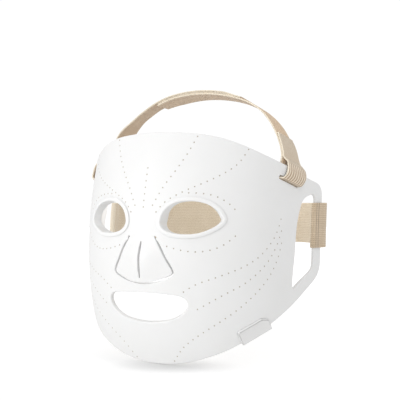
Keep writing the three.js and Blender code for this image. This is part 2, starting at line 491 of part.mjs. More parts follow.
add('rear_band_span', bandRibbon(0, BAND_LAST, 3, () => 0), BEIGE, 0.9);
const bandTabLift = (i) => OVERLAP + 0.05 + 1.9 * (1 - ease((BAND_LAST - i) / 7));
add('rear_band_tab', bandRibbon(BAND_LAST - 21, BAND_LAST, 3, bandTabLift), BEIGE, 0.9);
add('rear_band_tab_hook', bandRibbon(BAND_LAST - 20, BAND_LAST - 8, 3, () => OVERLAP / 2, BAND_Z0 + 3, BAND_Z1 - 3, PATCH_T), HOOK, 0.95);
add('rear_band_right_end', bandRibbon(0, 14, 3, (i) => 2.1 + 2.5 * (1 - ease(i / 9))), BEIGE, 0.9);

export default mask;
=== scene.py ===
# Curved silicone light mask with eye shields, a hinged nose flap, an inlet housing,
# an elastic strap over the crown and an elastic band behind the head.
# Lengths in the tables are millimetres; meshes are made in metres.
import math

import bmesh
import bpy
import numpy as np
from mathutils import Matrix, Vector
from mathutils.geometry import delaunay_2d_cdt


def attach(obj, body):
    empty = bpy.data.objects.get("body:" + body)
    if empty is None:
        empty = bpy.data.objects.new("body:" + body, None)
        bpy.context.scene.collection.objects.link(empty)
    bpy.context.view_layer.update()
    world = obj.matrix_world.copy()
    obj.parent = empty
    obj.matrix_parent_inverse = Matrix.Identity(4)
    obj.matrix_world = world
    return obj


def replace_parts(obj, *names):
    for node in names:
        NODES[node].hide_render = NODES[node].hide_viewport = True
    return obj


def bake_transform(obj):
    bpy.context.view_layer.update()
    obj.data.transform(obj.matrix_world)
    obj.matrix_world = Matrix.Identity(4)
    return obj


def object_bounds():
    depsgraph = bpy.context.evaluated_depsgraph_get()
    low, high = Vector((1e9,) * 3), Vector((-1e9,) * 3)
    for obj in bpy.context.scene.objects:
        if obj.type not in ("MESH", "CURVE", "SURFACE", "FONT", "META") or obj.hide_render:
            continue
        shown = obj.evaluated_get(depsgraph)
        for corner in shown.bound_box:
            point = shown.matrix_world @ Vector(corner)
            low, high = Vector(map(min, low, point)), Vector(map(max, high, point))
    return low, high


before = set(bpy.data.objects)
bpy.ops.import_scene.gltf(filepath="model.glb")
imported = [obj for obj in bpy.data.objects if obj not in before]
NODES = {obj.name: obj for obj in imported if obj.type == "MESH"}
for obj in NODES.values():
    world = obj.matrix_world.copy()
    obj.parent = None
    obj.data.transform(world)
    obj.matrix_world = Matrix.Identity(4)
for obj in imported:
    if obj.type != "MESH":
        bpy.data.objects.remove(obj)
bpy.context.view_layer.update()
MM = 0.001

# ------------------------------------------------------------------ the surface
BEND = (1.0465e-2, -0.1162e-4, 0.0778e-6)
WING_START, WING_BEND = 105.0, (-0.2127e-4, -1.742e-6)
PROFILE = (0.13452, 2.03904e-3, -4.62544e-6)


def theta(s):
    a = np.abs(s)
    b = np.maximum(0, a - WING_START)
    return np.sign(s) * (BEND[0] * a + BEND[1] * a**2 + BEND[2] * a**3 + WING_BEND[0] * b**2 + WING_BEND[1] * b**3)


_S = np.arange(0, 200.05, 0.1)
_TH = theta(_S)
_PX = np.concatenate([[0], np.cumsum((np.cos(_TH[1:]) + np.cos(_TH[:-1])) * 0.05)])
_PY = np.concatenate([[0], np.cumsum((np.sin(_TH[1:]) + np.sin(_TH[:-1])) * 0.05)])


def profile(t):
    return PROFILE[0] * t + PROFILE[1] * t**2 + PROFILE[2] * t**3


def slope(t):
    return PROFILE[0] + 2 * PROFILE[1] * t + 3 * PROFILE[2] * t**2


def normal(s, t):
    th = theta(s)
    n = np.stack([np.sin(th), -np.cos(th), np.cos(th) * slope(t)], -1)
    return n / np.linalg.norm(n, axis=-1, keepdims=True)


def at(s, t, d=0.0):
    """Points at arc length s and height t, d outside the front surface, in mm."""
    s, t, d = np.broadcast_arrays(np.asarray(s, float), np.asarray(t, float), np.asarray(d, float))
    a = np.abs(s)
    p = np.stack([np.sign(s) * np.interp(a, _S, _PX), np.interp(a, _S, _PY) + profile(t), t], -1)
    return p + normal(s, t) * d[..., None]


def ease(x):
    r = np.clip(x, 0, 1)
    return r * r * (3 - 2 * r)


# ------------------------------------------------------------------ curves
def crom(points, closed=False, per=14):
    """Dense centripetal Catmull-Rom curve through points of any dimension."""
    p = np.asarray(points, float)
    n = len(p)
    if closed:
        q = np.vstack([p[-1], p, p[0], p[1]])
        segments = n
    else:
        q = np.vstack([2 * p[0] - p[1], p, 2 * p[-1] - p[-2]])
        segments = n - 1
    out = []
    for i in range(segments):
        p0, p1, p2, p3 = q[i : i + 4]
        t1 = max(np.linalg.norm(p1 - p0) ** 0.5, 1e-6)
        t2 = t1 + max(np.linalg.norm(p2 - p1) ** 0.5, 1e-6)
        t3 = t2 + max(np.linalg.norm(p3 - p2) ** 0.5, 1e-6)
        u = np.linspace(t1, t2, per, endpoint=False)[:, None]
        a1 = (t1 - u) / t1 * p0 + u / t1 * p1
        a2 = (t2 - u) / (t2 - t1) * p1 + (u - t1) / (t2 - t1) * p2
        a3 = (t3 - u) / (t3 - t2) * p2 + (u - t2) / (t3 - t2) * p3
        b1 = (t2 - u) / t2 * a1 + u / t2 * a2
        b2 = (t3 - u) / (t3 - t1) * a2 + (u - t1) / (t3 - t1) * a3
        out.append((t2 - u) / (t2 - t1) * b1 + (u - t1) / (t2 - t1) * b2)
    out = np.vstack(out)
    return out if closed else np.vstack([out, p[-1]])


def resample(p, count=None, spacing=None, closed=False):
    q = np.vstack([p, p[:1]]) if closed else p
    l = np.concatenate([[0], np.cumsum(np.linalg.norm(np.diff(q, axis=0), axis=1))])
    if count is None:
        count = max(3, int(round(l[-1] / spacing)) + (0 if closed else 1))
    x = np.linspace(0, l[-1], count, endpoint=not closed)
    return np.stack([np.interp(x, l, q[:, k]) for k in range(q.shape[1])], -1)


def area(loop):
    x, y = loop[:, 0], loop[:, 1]
    return 0.5 * np.sum(x * np.roll(y, -1) - np.roll(x, -1) * y)


def outward(loop):
    """Unit normals of a closed loop, away from its inside."""
    t = np.roll(loop, -1, 0) - np.roll(loop, 1, 0)
    t /= np.linalg.norm(t, axis=1, keepdims=True) + 1e-12
    n = np.stack([t[:, 1], -t[:, 0]], -1)
    return n if area(loop) > 0 else -n


def mirror(loop):
    return (loop * [-1, 1])[::-1].copy()


def half_to_loop(half, spacing):
    """Closed smooth loop from the +s half of a symmetric outline."""
    h = np.asarray(half, float)
    full = np.vstack([h, (h[1:-1] * [-1, 1])[::-1]])
    return resample(crom(full, True), spacing=spacing, closed=True)


def inside(points, loop):
    """Which points lie inside the closed loop."""
    x, y = points[:, 0][:, None], points[:, 1][:, None]
    x0, y0 = loop[:, 0][None], loop[:, 1][None]
    x1, y1 = np.roll(loop[:, 0], -1)[None], np.roll(loop[:, 1], -1)[None]
    out = np.zeros(len(points), bool)
    for k in range(0, len(points), 4000):
        xs, ys = x[k : k + 4000], y[k : k + 4000]
        cross = ((y0 > ys) != (y1 > ys)) & (xs < (x1 - x0) * (ys - y0) / (y1 - y0 + 1e-30) + x0)
        out[k : k + 4000] = cross.sum(1) % 2 == 1
    return out


def clear_of(points, others, gap):
    """Which points are at least gap from every one of the others."""
    cell = {}
    for i, (a, b) in enumerate(others):
        cell.setdefault((int(a // gap), int(b // gap)), []).append(i)
    keep = np.ones(len(points), bool)
    for k, (a, b) in enumerate(points):
        ca, cb = int(a // gap), int(b // gap)
        near = [j for da in (-1, 0, 1) for db in (-1, 0, 1) for j in cell.get((ca + da, cb + db), ())]
        if near:
            d = others[near] - (a, b)
            keep[k] = (d * d).sum(1).min() >= gap * gap
    return keep


# ------------------------------------------------------------------ meshes
class Builder:
    """Collects vertices and faces in mm, then makes one welded object."""

    def __init__(self):
        self.v, self.f, self.m, self.uv = [], [], [], []
        self.n = 0

    def add(self, points, uv=None):
        points = np.asarray(points, float).reshape(-1, 3)
        self.v.append(points)
        self.uv.append(np.zeros((len(points), 2)) if uv is None else np.asarray(uv, float).reshape(-1, 2))
        first = self.n
        self.n += len(points)
        return first

    def face(self, *ids, mat=0):
        self.f.append(ids)
        self.m.append(mat)

    def rings(self, rings, closed=True, mat=0):
        """Quads between successive rings of equal count."""
        firsts = [self.add(r) for r in rings]
        n = len(rings[0])
        for a, b in zip(firsts, firsts[1:]):
            for i in range(n if closed else n - 1):
                j = (i + 1) % n
                self.face(a + i, a + j, b + j, b + i, mat=mat)
        return firsts

    def make(self, name, materials, weld=2e-6, sharp=38.0, outward_fix=True):
        v = np.vstack(self.v) * MM
        uv = np.vstack(self.uv)
        mesh = bpy.data.meshes.new(name)
        bm = bmesh.new()
        layer = bm.verts.layers.float_vector.new("uvw")
        verts = []
        for p, q in zip(v, uv):
            w = bm.verts.new(p)
            w[layer] = (q[0], q[1], 0)
            verts.append(w)
        for ids, m in zip(self.f, self.m):
            try:
                f = bm.faces.new([verts[i] for i in ids])
            except ValueError:
                continue
            f.material_index = m
            f.smooth = True
        bmesh.ops.remove_doubles(bm, verts=bm.verts, dist=weld)
        bmesh.ops.dissolve_degenerate(bm, dist=weld, edges=bm.edges)
        loose = [w for w in bm.verts if not w.link_faces]
        bmesh.ops.delete(bm, geom=loose, context="VERTS")
        if outward_fix:
            bmesh.ops.recalc_face_normals(bm, faces=bm.faces)
        uvl = bm.loops.layers.uv.new("UVMap")
        for f in bm.faces:
            for l in f.loops:
                q = l.vert[layer]
                l[uvl].uv = (q[0], q[1])
        bm.verts.layers.float_vector.remove(bm.verts.layers.float_vector["uvw"])
        limit = math.radians(sharp)
        for e in bm.edges:
            if len(e.link_faces) == 2 and e.calc_face_angle(0) > limit:
                e.smooth = False
        bm.to_mesh(mesh)
        bm.free()
        obj = bpy.data.objects.new(name, mesh)
        bpy.context.scene.collection.objects.link(obj)
        for m in materials:
            mesh.materials.append(m)
        return obj


def fill(builder, outer, holes, spacing, depth, extra=None, mats=None, mat=0):
    """Triangulates the region inside outer and outside holes, in (s, t), and lays it at depth(s, t).
    extra: list of (points, edges, tags, depths)."""
    pts, edges, tags, deep = [], [], [], []
    count = 0
    loops = [outer] + holes
    for loop in loops:
        n = len(loop)
        pts.append(loop)
        edges += [(count + i, count + (i + 1) % n) for i in range(n)]
        tags += [0] * n
        deep += [None] * n
        count += n
    for p, e, tg, dp in extra or []:
        pts.append(p)
        edges += [(count + a, count + b) for a, b in e]
        tags += list(tg)
        deep += list(dp)
        count += len(p)
    fixed = np.vstack(pts)
    lo, hi = outer.min(0), outer.max(0)
    rows = np.arange(lo[1], hi[1], spacing * 0.87)
    grid = []
    for k, y in enumerate(rows):
        xs = np.arange(lo[0] + (k % 2) * spacing / 2, hi[0], spacing)
        grid.append(np.stack([xs, np.full_like(xs, y)], -1))
    grid = np.vstack(grid)
    ok = inside(grid, outer)
    for h in holes:
        ok &= ~inside(grid, h)
    grid = grid[ok]
    grid = grid[clear_of(grid, fixed, spacing * 0.62)]
    allp = np.vstack([fixed, grid])
    tags += [0] * len(grid)
    deep += [None] * len(grid)
    verts, _, faces, orig, _, _ = delaunay_2d_cdt([Vector(p) for p in allp], edges, [], 0, 1e-6)
    ids = [o[0] if o else -1 for o in orig]
    vv = np.array([allp[i] if i >= 0 else list(verts[k]) for k, i in enumerate(ids)])
    tri = np.array([f for f in faces if len(f) == 3])
    c = vv[tri].mean(1)
    keep = inside(c, outer)
    for h in holes:
        keep &= ~inside(c, h)
    tri = tri[keep]
    d = np.array([depth(*vv[k]) if (ids[k] < 0 or deep[ids[k]] is None) else deep[ids[k]] for k in range(len(vv))])
    first = builder.add(at(vv[:, 0], vv[:, 1], d), vv / 10)
    for a, b, c3 in tri:
        m = mat
        if mats:
            m = mats([tags[ids[k]] if ids[k] >= 0 else 0 for k in (a, b, c3)])
        builder.face(first + a, first + b, first + c3, mat=m)


def edge_rings(loop, void, r, top, bottom, rb, nf=5, nb=3, hold=0.0, skirt=0.0):
    """Rings from the front surface, round the front edge, down the wall and round the back edge.
    void: unit normals that point into the opening. top and bottom give depths at (s, t).
    hold: width of a strip in the front surface that keeps the shading of the edge narrow.
    skirt: how far the back edge stands out into the opening."""
    r = np.broadcast_to(r, len(loop)).astype(float)
    rb = np.broadcast_to(rb, len(loop)).astype(float)
    rings, flat = [], []
    if hold:
        q = loop - void * (r + hold)[:, None]
        rings.append(at(q[:, 0], q[:, 1], top(q[:, 0], q[:, 1])))
        flat.append(q)
    for k in range(nf + 1):
        a = math.pi / 2 * k / nf
        q = loop - void * (r * (1 - math.sin(a)))[:, None]
        rings.append(at(q[:, 0], q[:, 1], top(q[:, 0], q[:, 1]) - r * (1 - math.cos(a))))
        flat.append(q)
    for k in range(nb + 1):
        a = math.pi / 2 * k / nb
        q = loop + void * (skirt - rb * (1 - math.cos(a)))[:, None]
        rings.append(at(q[:, 0], q[:, 1], bottom(q[:, 0], q[:, 1]) + rb * (1 - math.sin(a))))
        flat.append(q)
    return rings, flat


# ------------------------------------------------------------------ materials
def material(name, color, rough=0.5, metallic=0.0, **sockets):
    m = bpy.data.materials.new(name)
    m.use_nodes = True
    nt = m.node_tree
    b = nt.nodes["Principled BSDF"]
    b.inputs["Base Color"].default_value = (*color, 1)
    b.inputs["Roughness"].default_value = rough
    b.inputs["Metallic"].default_value = metallic
    for k, v in sockets.items():
        b.inputs[k.replace("_", " ")].default_value = v
    return m, nt, b


def link(nt, a, b):
    nt.links.new(a, b)


def node(nt, kind, **props):
    n = nt.nodes.new(kind)
    for k, v in props.items():
        if k in n.inputs.keys():
            n.inputs[k].default_value = v
        else:
            setattr(n, k, v)
    return n


def ramp(nt, source, stops):
    r = nt.nodes.new("ShaderNodeValToRGB")
    r.color_ramp.elements[0].position, r.color_ramp.elements[0].color = stops[0][0], (*stops[0][1], 1)
    r.color_ramp.elements[1].position, r.color_ramp.elements[1].color = stops[-1][0], (*stops[-1][1], 1)
    for p, c in stops[1:-1]:
        e = r.color_ramp.elements.new(p)
        e.color = (*c, 1)
    link(nt, source, r.inputs[0])
    return r.outputs["Color"]


def bump(nt, bsdf, height, distance, strength=1.0, previous=None):
    b = nt.nodes.new("ShaderNodeBump")
    b.inputs["Distance"].default_value = distance
    b.inputs["Strength"].default_value = strength
    link(nt, height, b.inputs["Height"])
    if previous is not None:
        link(nt, previous, b.inputs["Normal"])
    link(nt, b.outputs["Normal"], bsdf.inputs["Normal"])
    return b.outputs["Normal"]


def coords(nt, what="Object"):
    return nt.nodes.new("ShaderNodeTexCoord").outputs[what]


def soft_plastic(name, color, color2, rough, grain=900.0, depth=0.00003, sss=0.0, mottle=40.0, spec=0.5):
    """Moulded silicone or plastic: slow mottling, fine matte grain, uneven roughness."""
    m, nt, b = material(name, color, rough)
    b.inputs["Specular IOR Level"].default_value = spec
    co = coords(nt)
    slow = node(nt, "ShaderNodeTexNoise", Scale=mottle, Detail=3.0)
    link(nt, co, slow.inputs["Vector"])
    link(nt, ramp(nt, slow.outputs["Fac"], [(0.3, color), (0.7, color2)]), b.inputs["Base Color"])
    fine = node(nt, "ShaderNodeTexNoise", Scale=grain, Detail=2.0)
    link(nt, co, fine.inputs["Vector"])
    mr = node(nt, "ShaderNodeMapRange")
    mr.inputs["To Min"].default_value, mr.inputs["To Max"].default_value = rough - 0.06, rough + 0.06
    link(nt, slow.outputs["Fac"], mr.inputs["Value"])
    link(nt, mr.outputs["Result"], b.inputs["Roughness"])
    bump(nt, b, fine.outputs["Fac"], depth, 0.6)
    if sss:
        b.inputs["Subsurface Weight"].default_value = sss
        b.inputs["Subsurface Radius"].default_value = (1.0, 0.9, 0.8)
        b.inputs["Subsurface Scale"].default_value = 0.0015
    return m


def webbing(name, base, dark, light, rib_mm, pick_mm, rib_depth, fuzz=0.35, ribbed=0.5, coarse=0.0, contrast=0.28):
    """Elastic webbing on UVs in centimetres: u across, v along."""
    m, nt, b = material(name, base, 0.92)
    b.inputs["Sheen Weight"].default_value = fuzz
    b.inputs["Sheen Roughness"].default_value = 0.6
    b.inputs["Specular IOR Level"].default_value = 0.2
    uv = coords(nt, "UV")
    sep = nt.nodes.new("ShaderNodeSeparateXYZ")
    link(nt, uv, sep.inputs[0])

    def wave(axis, pitch_mm, phase=0.0):
        mul = node(nt, "ShaderNodeMath", operation="MULTIPLY_ADD")
        mul.inputs[1].default_value = 2 * math.pi * 10 / pitch_mm
        mul.inputs[2].default_value = phase if isinstance(phase, float) else 0.0
        link(nt, sep.outputs[axis], mul.inputs[0])
        sn = node(nt, "ShaderNodeMath", operation="SINE")
        if not isinstance(phase, float):
            ad = node(nt, "ShaderNodeMath", operation="ADD")
            link(nt, mul.outputs[0], ad.inputs[0])
            link(nt, phase, ad.inputs[1])
            link(nt, ad.outputs[0], sn.inputs[0])
        else:
            link(nt, mul.outputs[0], sn.inputs[0])
        return sn.outputs[0]

    ribs = wave(0, rib_mm, -math.pi / 2)
    # each rib's stitches run half a step out from the next one's
    step = node(nt, "ShaderNodeMath", operation="MULTIPLY")
    step.inputs[1].default_value = 1.6
    link(nt, ribs, step.inputs[0])
    picks = wave(1, pick_mm, step.outputs[0])
    cross = node(nt, "ShaderNodeMath", operation="MULTIPLY")
    link(nt, ribs, cross.inputs[0])
    cross.inputs[1].default_value = ribbed
    both = node(nt, "ShaderNodeMath", operation="ADD")
    link(nt, cross.outputs[0], both.inputs[0])
    pk = node(nt, "ShaderNodeMath", operation="MULTIPLY")
    pk.inputs[1].default_value = 0.35
    link(nt, picks, pk.inputs[0])
    link(nt, pk.outputs[0], both.inputs[1])
    scale = nt.nodes.new("ShaderNodeVectorMath")
    scale.operation = "MULTIPLY"
    scale.inputs[1].default_value = (9, 14, 1)
    link(nt, uv, scale.inputs[0])
    noise = node(nt, "ShaderNodeTexNoise", Scale=1.0, Detail=4.0, Roughness=0.65)
    link(nt, scale.outputs[0], noise.inputs["Vector"])
    slow = node(nt, "ShaderNodeTexNoise", Scale=0.9, Detail=2.0)
    link(nt, uv, slow.inputs["Vector"])
    mix = node(nt, "ShaderNodeMath", operation="MULTIPLY_ADD")
    mix.inputs[1].default_value, mix.inputs[2].default_value = contrast, 0.5
    link(nt, both.outputs[0], mix.inputs[0])
    tone = node(nt, "ShaderNodeMath", operation="MULTIPLY_ADD")
    tone.inputs[1].default_value, tone.inputs[2].default_value = 0.9 + coarse, -0.45 - coarse / 2
    link(nt, noise.outputs["Fac"], tone.inputs[0])
    s1 = node(nt, "ShaderNodeMath", operation="ADD")
    link(nt, mix.outputs[0], s1.inputs[0])
    link(nt, tone.outputs[0], s1.inputs[1])
    s2 = node(nt, "ShaderNodeMath", operation="MULTIPLY_ADD")
    s2.inputs[1].default_value = 0.3
    link(nt, slow.outputs["Fac"], s2.inputs[0])
    link(nt, s1.outputs[0], s2.inputs[2])
    s3 = node(nt, "ShaderNodeMath", operation="SUBTRACT")
    s3.inputs[1].default_value = 0.15
    link(nt, s2.outputs[0], s3.inputs[0])
    colour = ramp(nt, s3.outputs[0], [(0.12, dark), (0.5, base), (0.9, light)])
    link(nt, colour, b.inputs["Base Color"])
    rough = node(nt, "ShaderNodeMapRange")
    rough.inputs["To Min"].default_value, rough.inputs["To Max"].default_value = 0.82, 1.0
    link(nt, noise.outputs["Fac"], rough.inputs["Value"])
    link(nt, rough.outputs["Result"], b.inputs["Roughness"])
    n1 = bump(nt, b, both.outputs[0], rib_depth, 0.9)
    bump(nt, b, noise.outputs["Fac"], 0.00025, 0.7, n1)
    return m


SILICONE = soft_plastic("silicone_white", (0.84, 0.84, 0.837), (0.825, 0.825, 0.82), 0.46, sss=0.05)
SILICONE_EDGE = soft_plastic("silicone_lip", (0.865, 0.865, 0.862), (0.85, 0.85, 0.845), 0.38, sss=0.05)
# Painted shade: the walls of the nose slits are grey, standing in for the shade inside the narrow gaps; below the nose,
# right of the middle, they are lifted to near white as a painted highlight.
SLIT_SHADE, _nt, _b = material("silicone_slit_painted_shade", (0.62, 0.62, 0.62), 0.6)
_sep = _nt.nodes.new("ShaderNodeSeparateXYZ")
link(_nt, coords(_nt), _sep.inputs[0])
_up, _across, _slit_shade_fac = [node(_nt, "ShaderNodeMapRange") for _ in range(2)] + [node(_nt, "ShaderNodeMath", operation="MAXIMUM")]
_up.inputs["From Min"].default_value, _up.inputs["From Max"].default_value = -0.047, -0.041
_across.inputs["From Min"].default_value, _across.inputs["From Max"].default_value = 0.006, -0.006
link(_nt, _sep.outputs["Z"], _up.inputs["Value"])
link(_nt, _sep.outputs["X"], _across.inputs["Value"])
link(_nt, _up.outputs["Result"], _slit_shade_fac.inputs[0])
link(_nt, _across.outputs["Result"], _slit_shade_fac.inputs[1])
link(_nt, ramp(_nt, _slit_shade_fac.outputs[0], [(0.0, (0.90, 0.90, 0.90)), (1.0, (0.74, 0.74, 0.74))]), _b.inputs["Base Color"])
# Dots over the lights: an amber tint from the lights beneath, darkened as painted shade in the small dimples
DOT_TINT_AND_SHADE = soft_plastic("light_dot_tint_painted_shade", (0.53, 0.485, 0.41), (0.47, 0.42, 0.35), 0.5)
SKIN = soft_plastic("silicone_skin", (0.81, 0.81, 0.805), (0.79, 0.785, 0.78), 0.42, grain=1400, sss=0.08)
LENS = soft_plastic("light_window", (0.74, 0.66, 0.48), (0.68, 0.60, 0.43), 0.25, grain=2000)
HOUSE = soft_plastic("housing_white", (0.80, 0.80, 0.797), (0.785, 0.785, 0.78), 0.36, grain=1600)
RIB = 25.5 / 9
WEB = webbing("elastic_webbing", (0.65, 0.485, 0.328), (0.54, 0.395, 0.255), (0.80, 0.65, 0.48), RIB, 1.1, 0.00022)
WEB_WRAP = webbing("elastic_wrap", (0.69, 0.54, 0.38), (0.42, 0.30, 0.19), (0.86, 0.75, 0.60), RIB, 1.1, 0.0003, ribbed=1.0, contrast=0.50)
WEB_TAB = webbing("elastic_tab", (0.59, 0.48, 0.34), (0.46, 0.36, 0.24), (0.72, 0.61, 0.48), RIB / 2, 0.9, 0.00012, ribbed=0.9, contrast=0.5)
BAND = webbing("elastic_band", (0.80, 0.68, 0.515), (0.64, 0.52, 0.365), (0.93, 0.83, 0.68), 1.625, 1.3, 0.00014, ribbed=0.4, contrast=0.3, coarse=0.9)
# Painted highlight: the strap edges are paler, standing in for the light on their rounded edges together with a paler
# selvedge; the same cream also colours the band near the wearer's right bar.
CREAM_AND_EDGE_HIGHLIGHT = webbing("elastic_selvedge_painted_highlight", (0.80, 0.71, 0.57), (0.70, 0.60, 0.45), (0.88, 0.81, 0.69), 0.7, 0.7, 0.00008, ribbed=0.3)
BAND_WRAP = webbing("elastic_band_fold", (0.62, 0.49, 0.345), (0.46, 0.35, 0.235), (0.78, 0.66, 0.51), 1.625, 1.6, 0.00014, ribbed=0.5, contrast=0.36)
SEAM = webbing("elastic_seam", (0.29, 0.21, 0.135), (0.20, 0.14, 0.09), (0.42, 0.32, 0.22), 1.625, 1.3, 0.0002)
HOOK = webbing("hook_patch", (0.84, 0.74, 0.58), (0.72, 0.61, 0.46), (0.92, 0.85, 0.73), 1.2, 1.2, 0.00035, fuzz=0.6, coarse=0.5)

# ------------------------------------------------------------------ outlines
TOP_EDGE = [(0, 70), (10.2, 69.8), (31.5, 68.4), (42.9, 67.1), (58.2, 64.2), (77, 58.4), (97.7, 51), (114, 45.7),
            (133, 40.2), (153.8, 34.3), (166, 31.2), (172, 29.6), (175.5, 27.6), (178, 24.4), (179.4, 20)]
LOW_EDGE = [(0, -120), (13.9, -119.2), (30, -116.7), (40, -114), (52.6, -110), (64.3, -105.6), (77, -99.9),
            (105.3, -86.4), (119.3, -79.7), (149, -66.5), (163, -59.6), (170, -55.6), (175, -51.2), (178, -46), (179.4, -40)]
EYE = [(16, -3.6), (16.8, 1.4), (18.9, 5.6), (23, 9.5), (29, 12.3), (38, 13.3), (46, 12.5), (53.3, 10.4), (59.8, 6.2),
       (64, 1.4), (65.1, -1.4), (61.7, -5.2), (53.5, -9.3), (45.4, -11.8), (37.6, -12.4), (29.6, -12), (22.2, -10.4), (17.7, -7.4)]
MOUTH = [(0, -59.2), (7.6, -59.3), (17.4, -59.8), (24.4, -60.4), (31, -61.4), (35.4, -63.8), (36.9, -67.4), (35, -72.2),
         (28, -77.9), (19.7, -81.2), (9, -82.9), (0, -83.4)]
SIDE_LOOP = [(167.4, 18.8), (160, 18.1), (151.1, 13.6), (147, 6), (143.7, -4.8), (142.3, -14), (141.6, -24), (140.4, -33),
             (138.9, -40.4), (135.6, -55.8), (135.9, -59.2), (138.6, -59.3), (150, -53.7), (164.6, -46.4), (167.8, -43.6),
             (169, -38), (169.6, -29.2), (170.2, -10), (170.4, 12.6), (169.6, 16.8)]
HOLE_SIDE = [(13.1, -16.8), (15.6, -18.9), (19.6, -25.4), (23.5, -32.8), (27.6, -40.4), (28.0, -42.9), (26.3, -45.0), (21.9, -47.3),
             (13, -50.3), (6.1, -51.5), (0, -51.9)]
FLAP_SIDE = [(11.1, -14.2), (11.5, -15.2), (13.5, -18.6), (17.5, -25.9), (21.4, -33.3), (25.7, -40.6), (26.2, -42.9), (25, -44.3),
             (21.5, -46.1), (12.8, -49.2), (6, -50.4), (0, -50.8)]
HINGE_T = -14.2
MASK_T, BAR_T, SHELL_T, SKIN_TOP, RIM_W, POCKET_S = 3.6, 2.4, 1.2, -2.8, 3.6, 125.0
SLOT_A, SLOT_B = np.array([114.6, 32.3]), np.array([140.3, 25.0])
SLOT_L = float(np.linalg.norm(SLOT_B - SLOT_A))
SLOT_E = (SLOT_B - SLOT_A) / SLOT_L
SLOT_MID = SLOT_L / 2
STRAP_W, STRAP_T = 25.5, 1.3


def edge_at(edge, s):
    e = np.array(edge, float)
    return np.interp(np.abs(s), e[:, 0], e[:, 1])


def slot_point(w, v, side):
    w, v = np.broadcast_arrays(np.asarray(w, float), np.asarray(v, float))
    return side * (SLOT_A[0] + SLOT_E[0] * w - SLOT_E[1] * v), SLOT_A[1] + SLOT_E[1] * w + SLOT_E[0] * v


# housing frame: u along the lower edge, v up across it, n out of the mask
H_AT, H_DIR = (88.4, -89.5), (0.916, 0.4)
HOUSING = dict(u=13.5, v0=-5.8, v1=5.6, cut_u=5.2, cut_v=3.2)
_es = np.array([math.cos(theta(H_AT[0])), math.sin(theta(H_AT[0])), 0])
_et = np.array([0, slope(H_AT[1]), 1])
H_N = normal(np.array(H_AT[0]), np.array(H_AT[1]))
H_U = _es * H_DIR[0] + _et * H_DIR[1]
H_U = H_U - H_N * (H_U @ H_N)
H_U /= np.linalg.norm(H_U)
H_V = np.cross(H_N, H_U)
H_O = at(*H_AT)
H_TO_ST = np.linalg.pinv(np.stack([_es, _et], 1))


def housing_st(u, v):
    return np.array(H_AT) + H_TO_ST @ (H_U * u + H_V * v)


def housing_point(u, v, n):
    return H_O + H_U * u + H_V * v + H_N * n


# ------------------------------------------------------------------ outline of the shell
_top = crom(np.array(TOP_EDGE + [(179.75, 8), (179.8, -8)], float))
_low = crom(np.array(LOW_EDGE + [(179.75, -28), (179.8, -10)], float))
right_top = _top[_top[:, 0] >= 0]
right_low = _low[_low[:, 0] >= 0]
outline = np.vstack([right_low, right_top[::-1], mirror(np.vstack([right_low, right_top[::-1]]))[0:]])
# mirror() reverses, so the second half runs from the top back down to the start
_u, _first = [], None
outline = resample(outline[np.concatenate([[True], np.linalg.norm(np.diff(outline, axis=0), axis=1) > 1e-4])], spacing=1.25, closed=True)
if area(outline) < 0:
    outline = outline[::-1].copy()

# the housing's notch, let into the lower edge
_G = 0.35
_hu, _hv = HOUSING["u"] + _G, HOUSING["v1"] + _G
M_UV = np.linalg.inv(np.stack([housing_st(1, 0) - np.array(H_AT), housing_st(0, 1) - np.array(H_AT)], 1))
uv_of = (outline - np.array(H_AT)) @ M_UV.T
in_notch = (np.abs(uv_of[:, 0]) < _hu) & (uv_of[:, 1] < _hv) & (uv_of[:, 1] > -20) & (outline[:, 0] > 40)
k0 = int(np.argmax(in_notch & ~np.roll(in_notch, 1)))
outline = np.roll(outline, -k0, 0)
uv_of = np.roll(uv_of, -k0, 0)
in_notch = np.roll(in_notch, -k0)
gone = int(in_notch.sum())
va, vb = uv_of[0][1], uv_of[gone - 1][1]
notch = [(-_hu, va), (-_hu, _hv - 1.2), (-_hu + 1.2, _hv), (_hu - HOUSING["cut_u"], _hv), (_hu, _hv - HOUSING["cut_v"]), (_hu, vb)]
notch = resample(np.array(notch, float), spacing=0.9)
notch = np.array([housing_st(a, b) for a, b in notch])
outline_r = np.concatenate([np.full(len(notch), 0.3), np.full(len(outline) - gone, 1.15)])
outline = np.vstack([notch, outline[gone:]])

eye_loop = resample(crom(EYE, True), 96, closed=True)
if area(eye_loop) < 0:
    eye_loop = eye_loop[::-1].copy()
mouth_loop = half_to_loop(MOUTH, 1.2)
side_loop = resample(crom(SIDE_LOOP, True), spacing=1.3, closed=True)

# nose opening: straight along the hinge, smooth elsewhere
hole_side = resample(crom(np.array([(12.4, HINGE_T + 0.25), (13.2, HINGE_T - 0.6)] + HOLE_SIDE, float)), spacing=0.8)
slit_end = np.array([(11.1, HINGE_T), (11.5, HINGE_T)], float)
hinge_line = np.stack([np.linspace(-11.1, 11.1, 24)[1:-1], np.full(22, HINGE_T)], -1)
half = np.vstack([slit_end, hole_side])
nose_loop = np.vstack([hinge_line, half, (half[:-1] * [-1, 1])[::-1]])
nose_loop[:, 0] -= np.where(nose_loop[:, 0] > 0, 0.75, 0.2) * ease((-16 - nose_loop[:, 1]) / 4) * ease((nose_loop[:, 1] + 50) / 6)
_depth_below = np.clip((HINGE_T - nose_loop[:, 1]) / 4.0, 0, 1)
nose_r = (0.3 + 0.45 * ease((-40 - nose_loop[:, 1]) / 5)) * _depth_below
nose_r[np.abs(nose_loop[:, 1] - HINGE_T) < 0.01] = 0.0


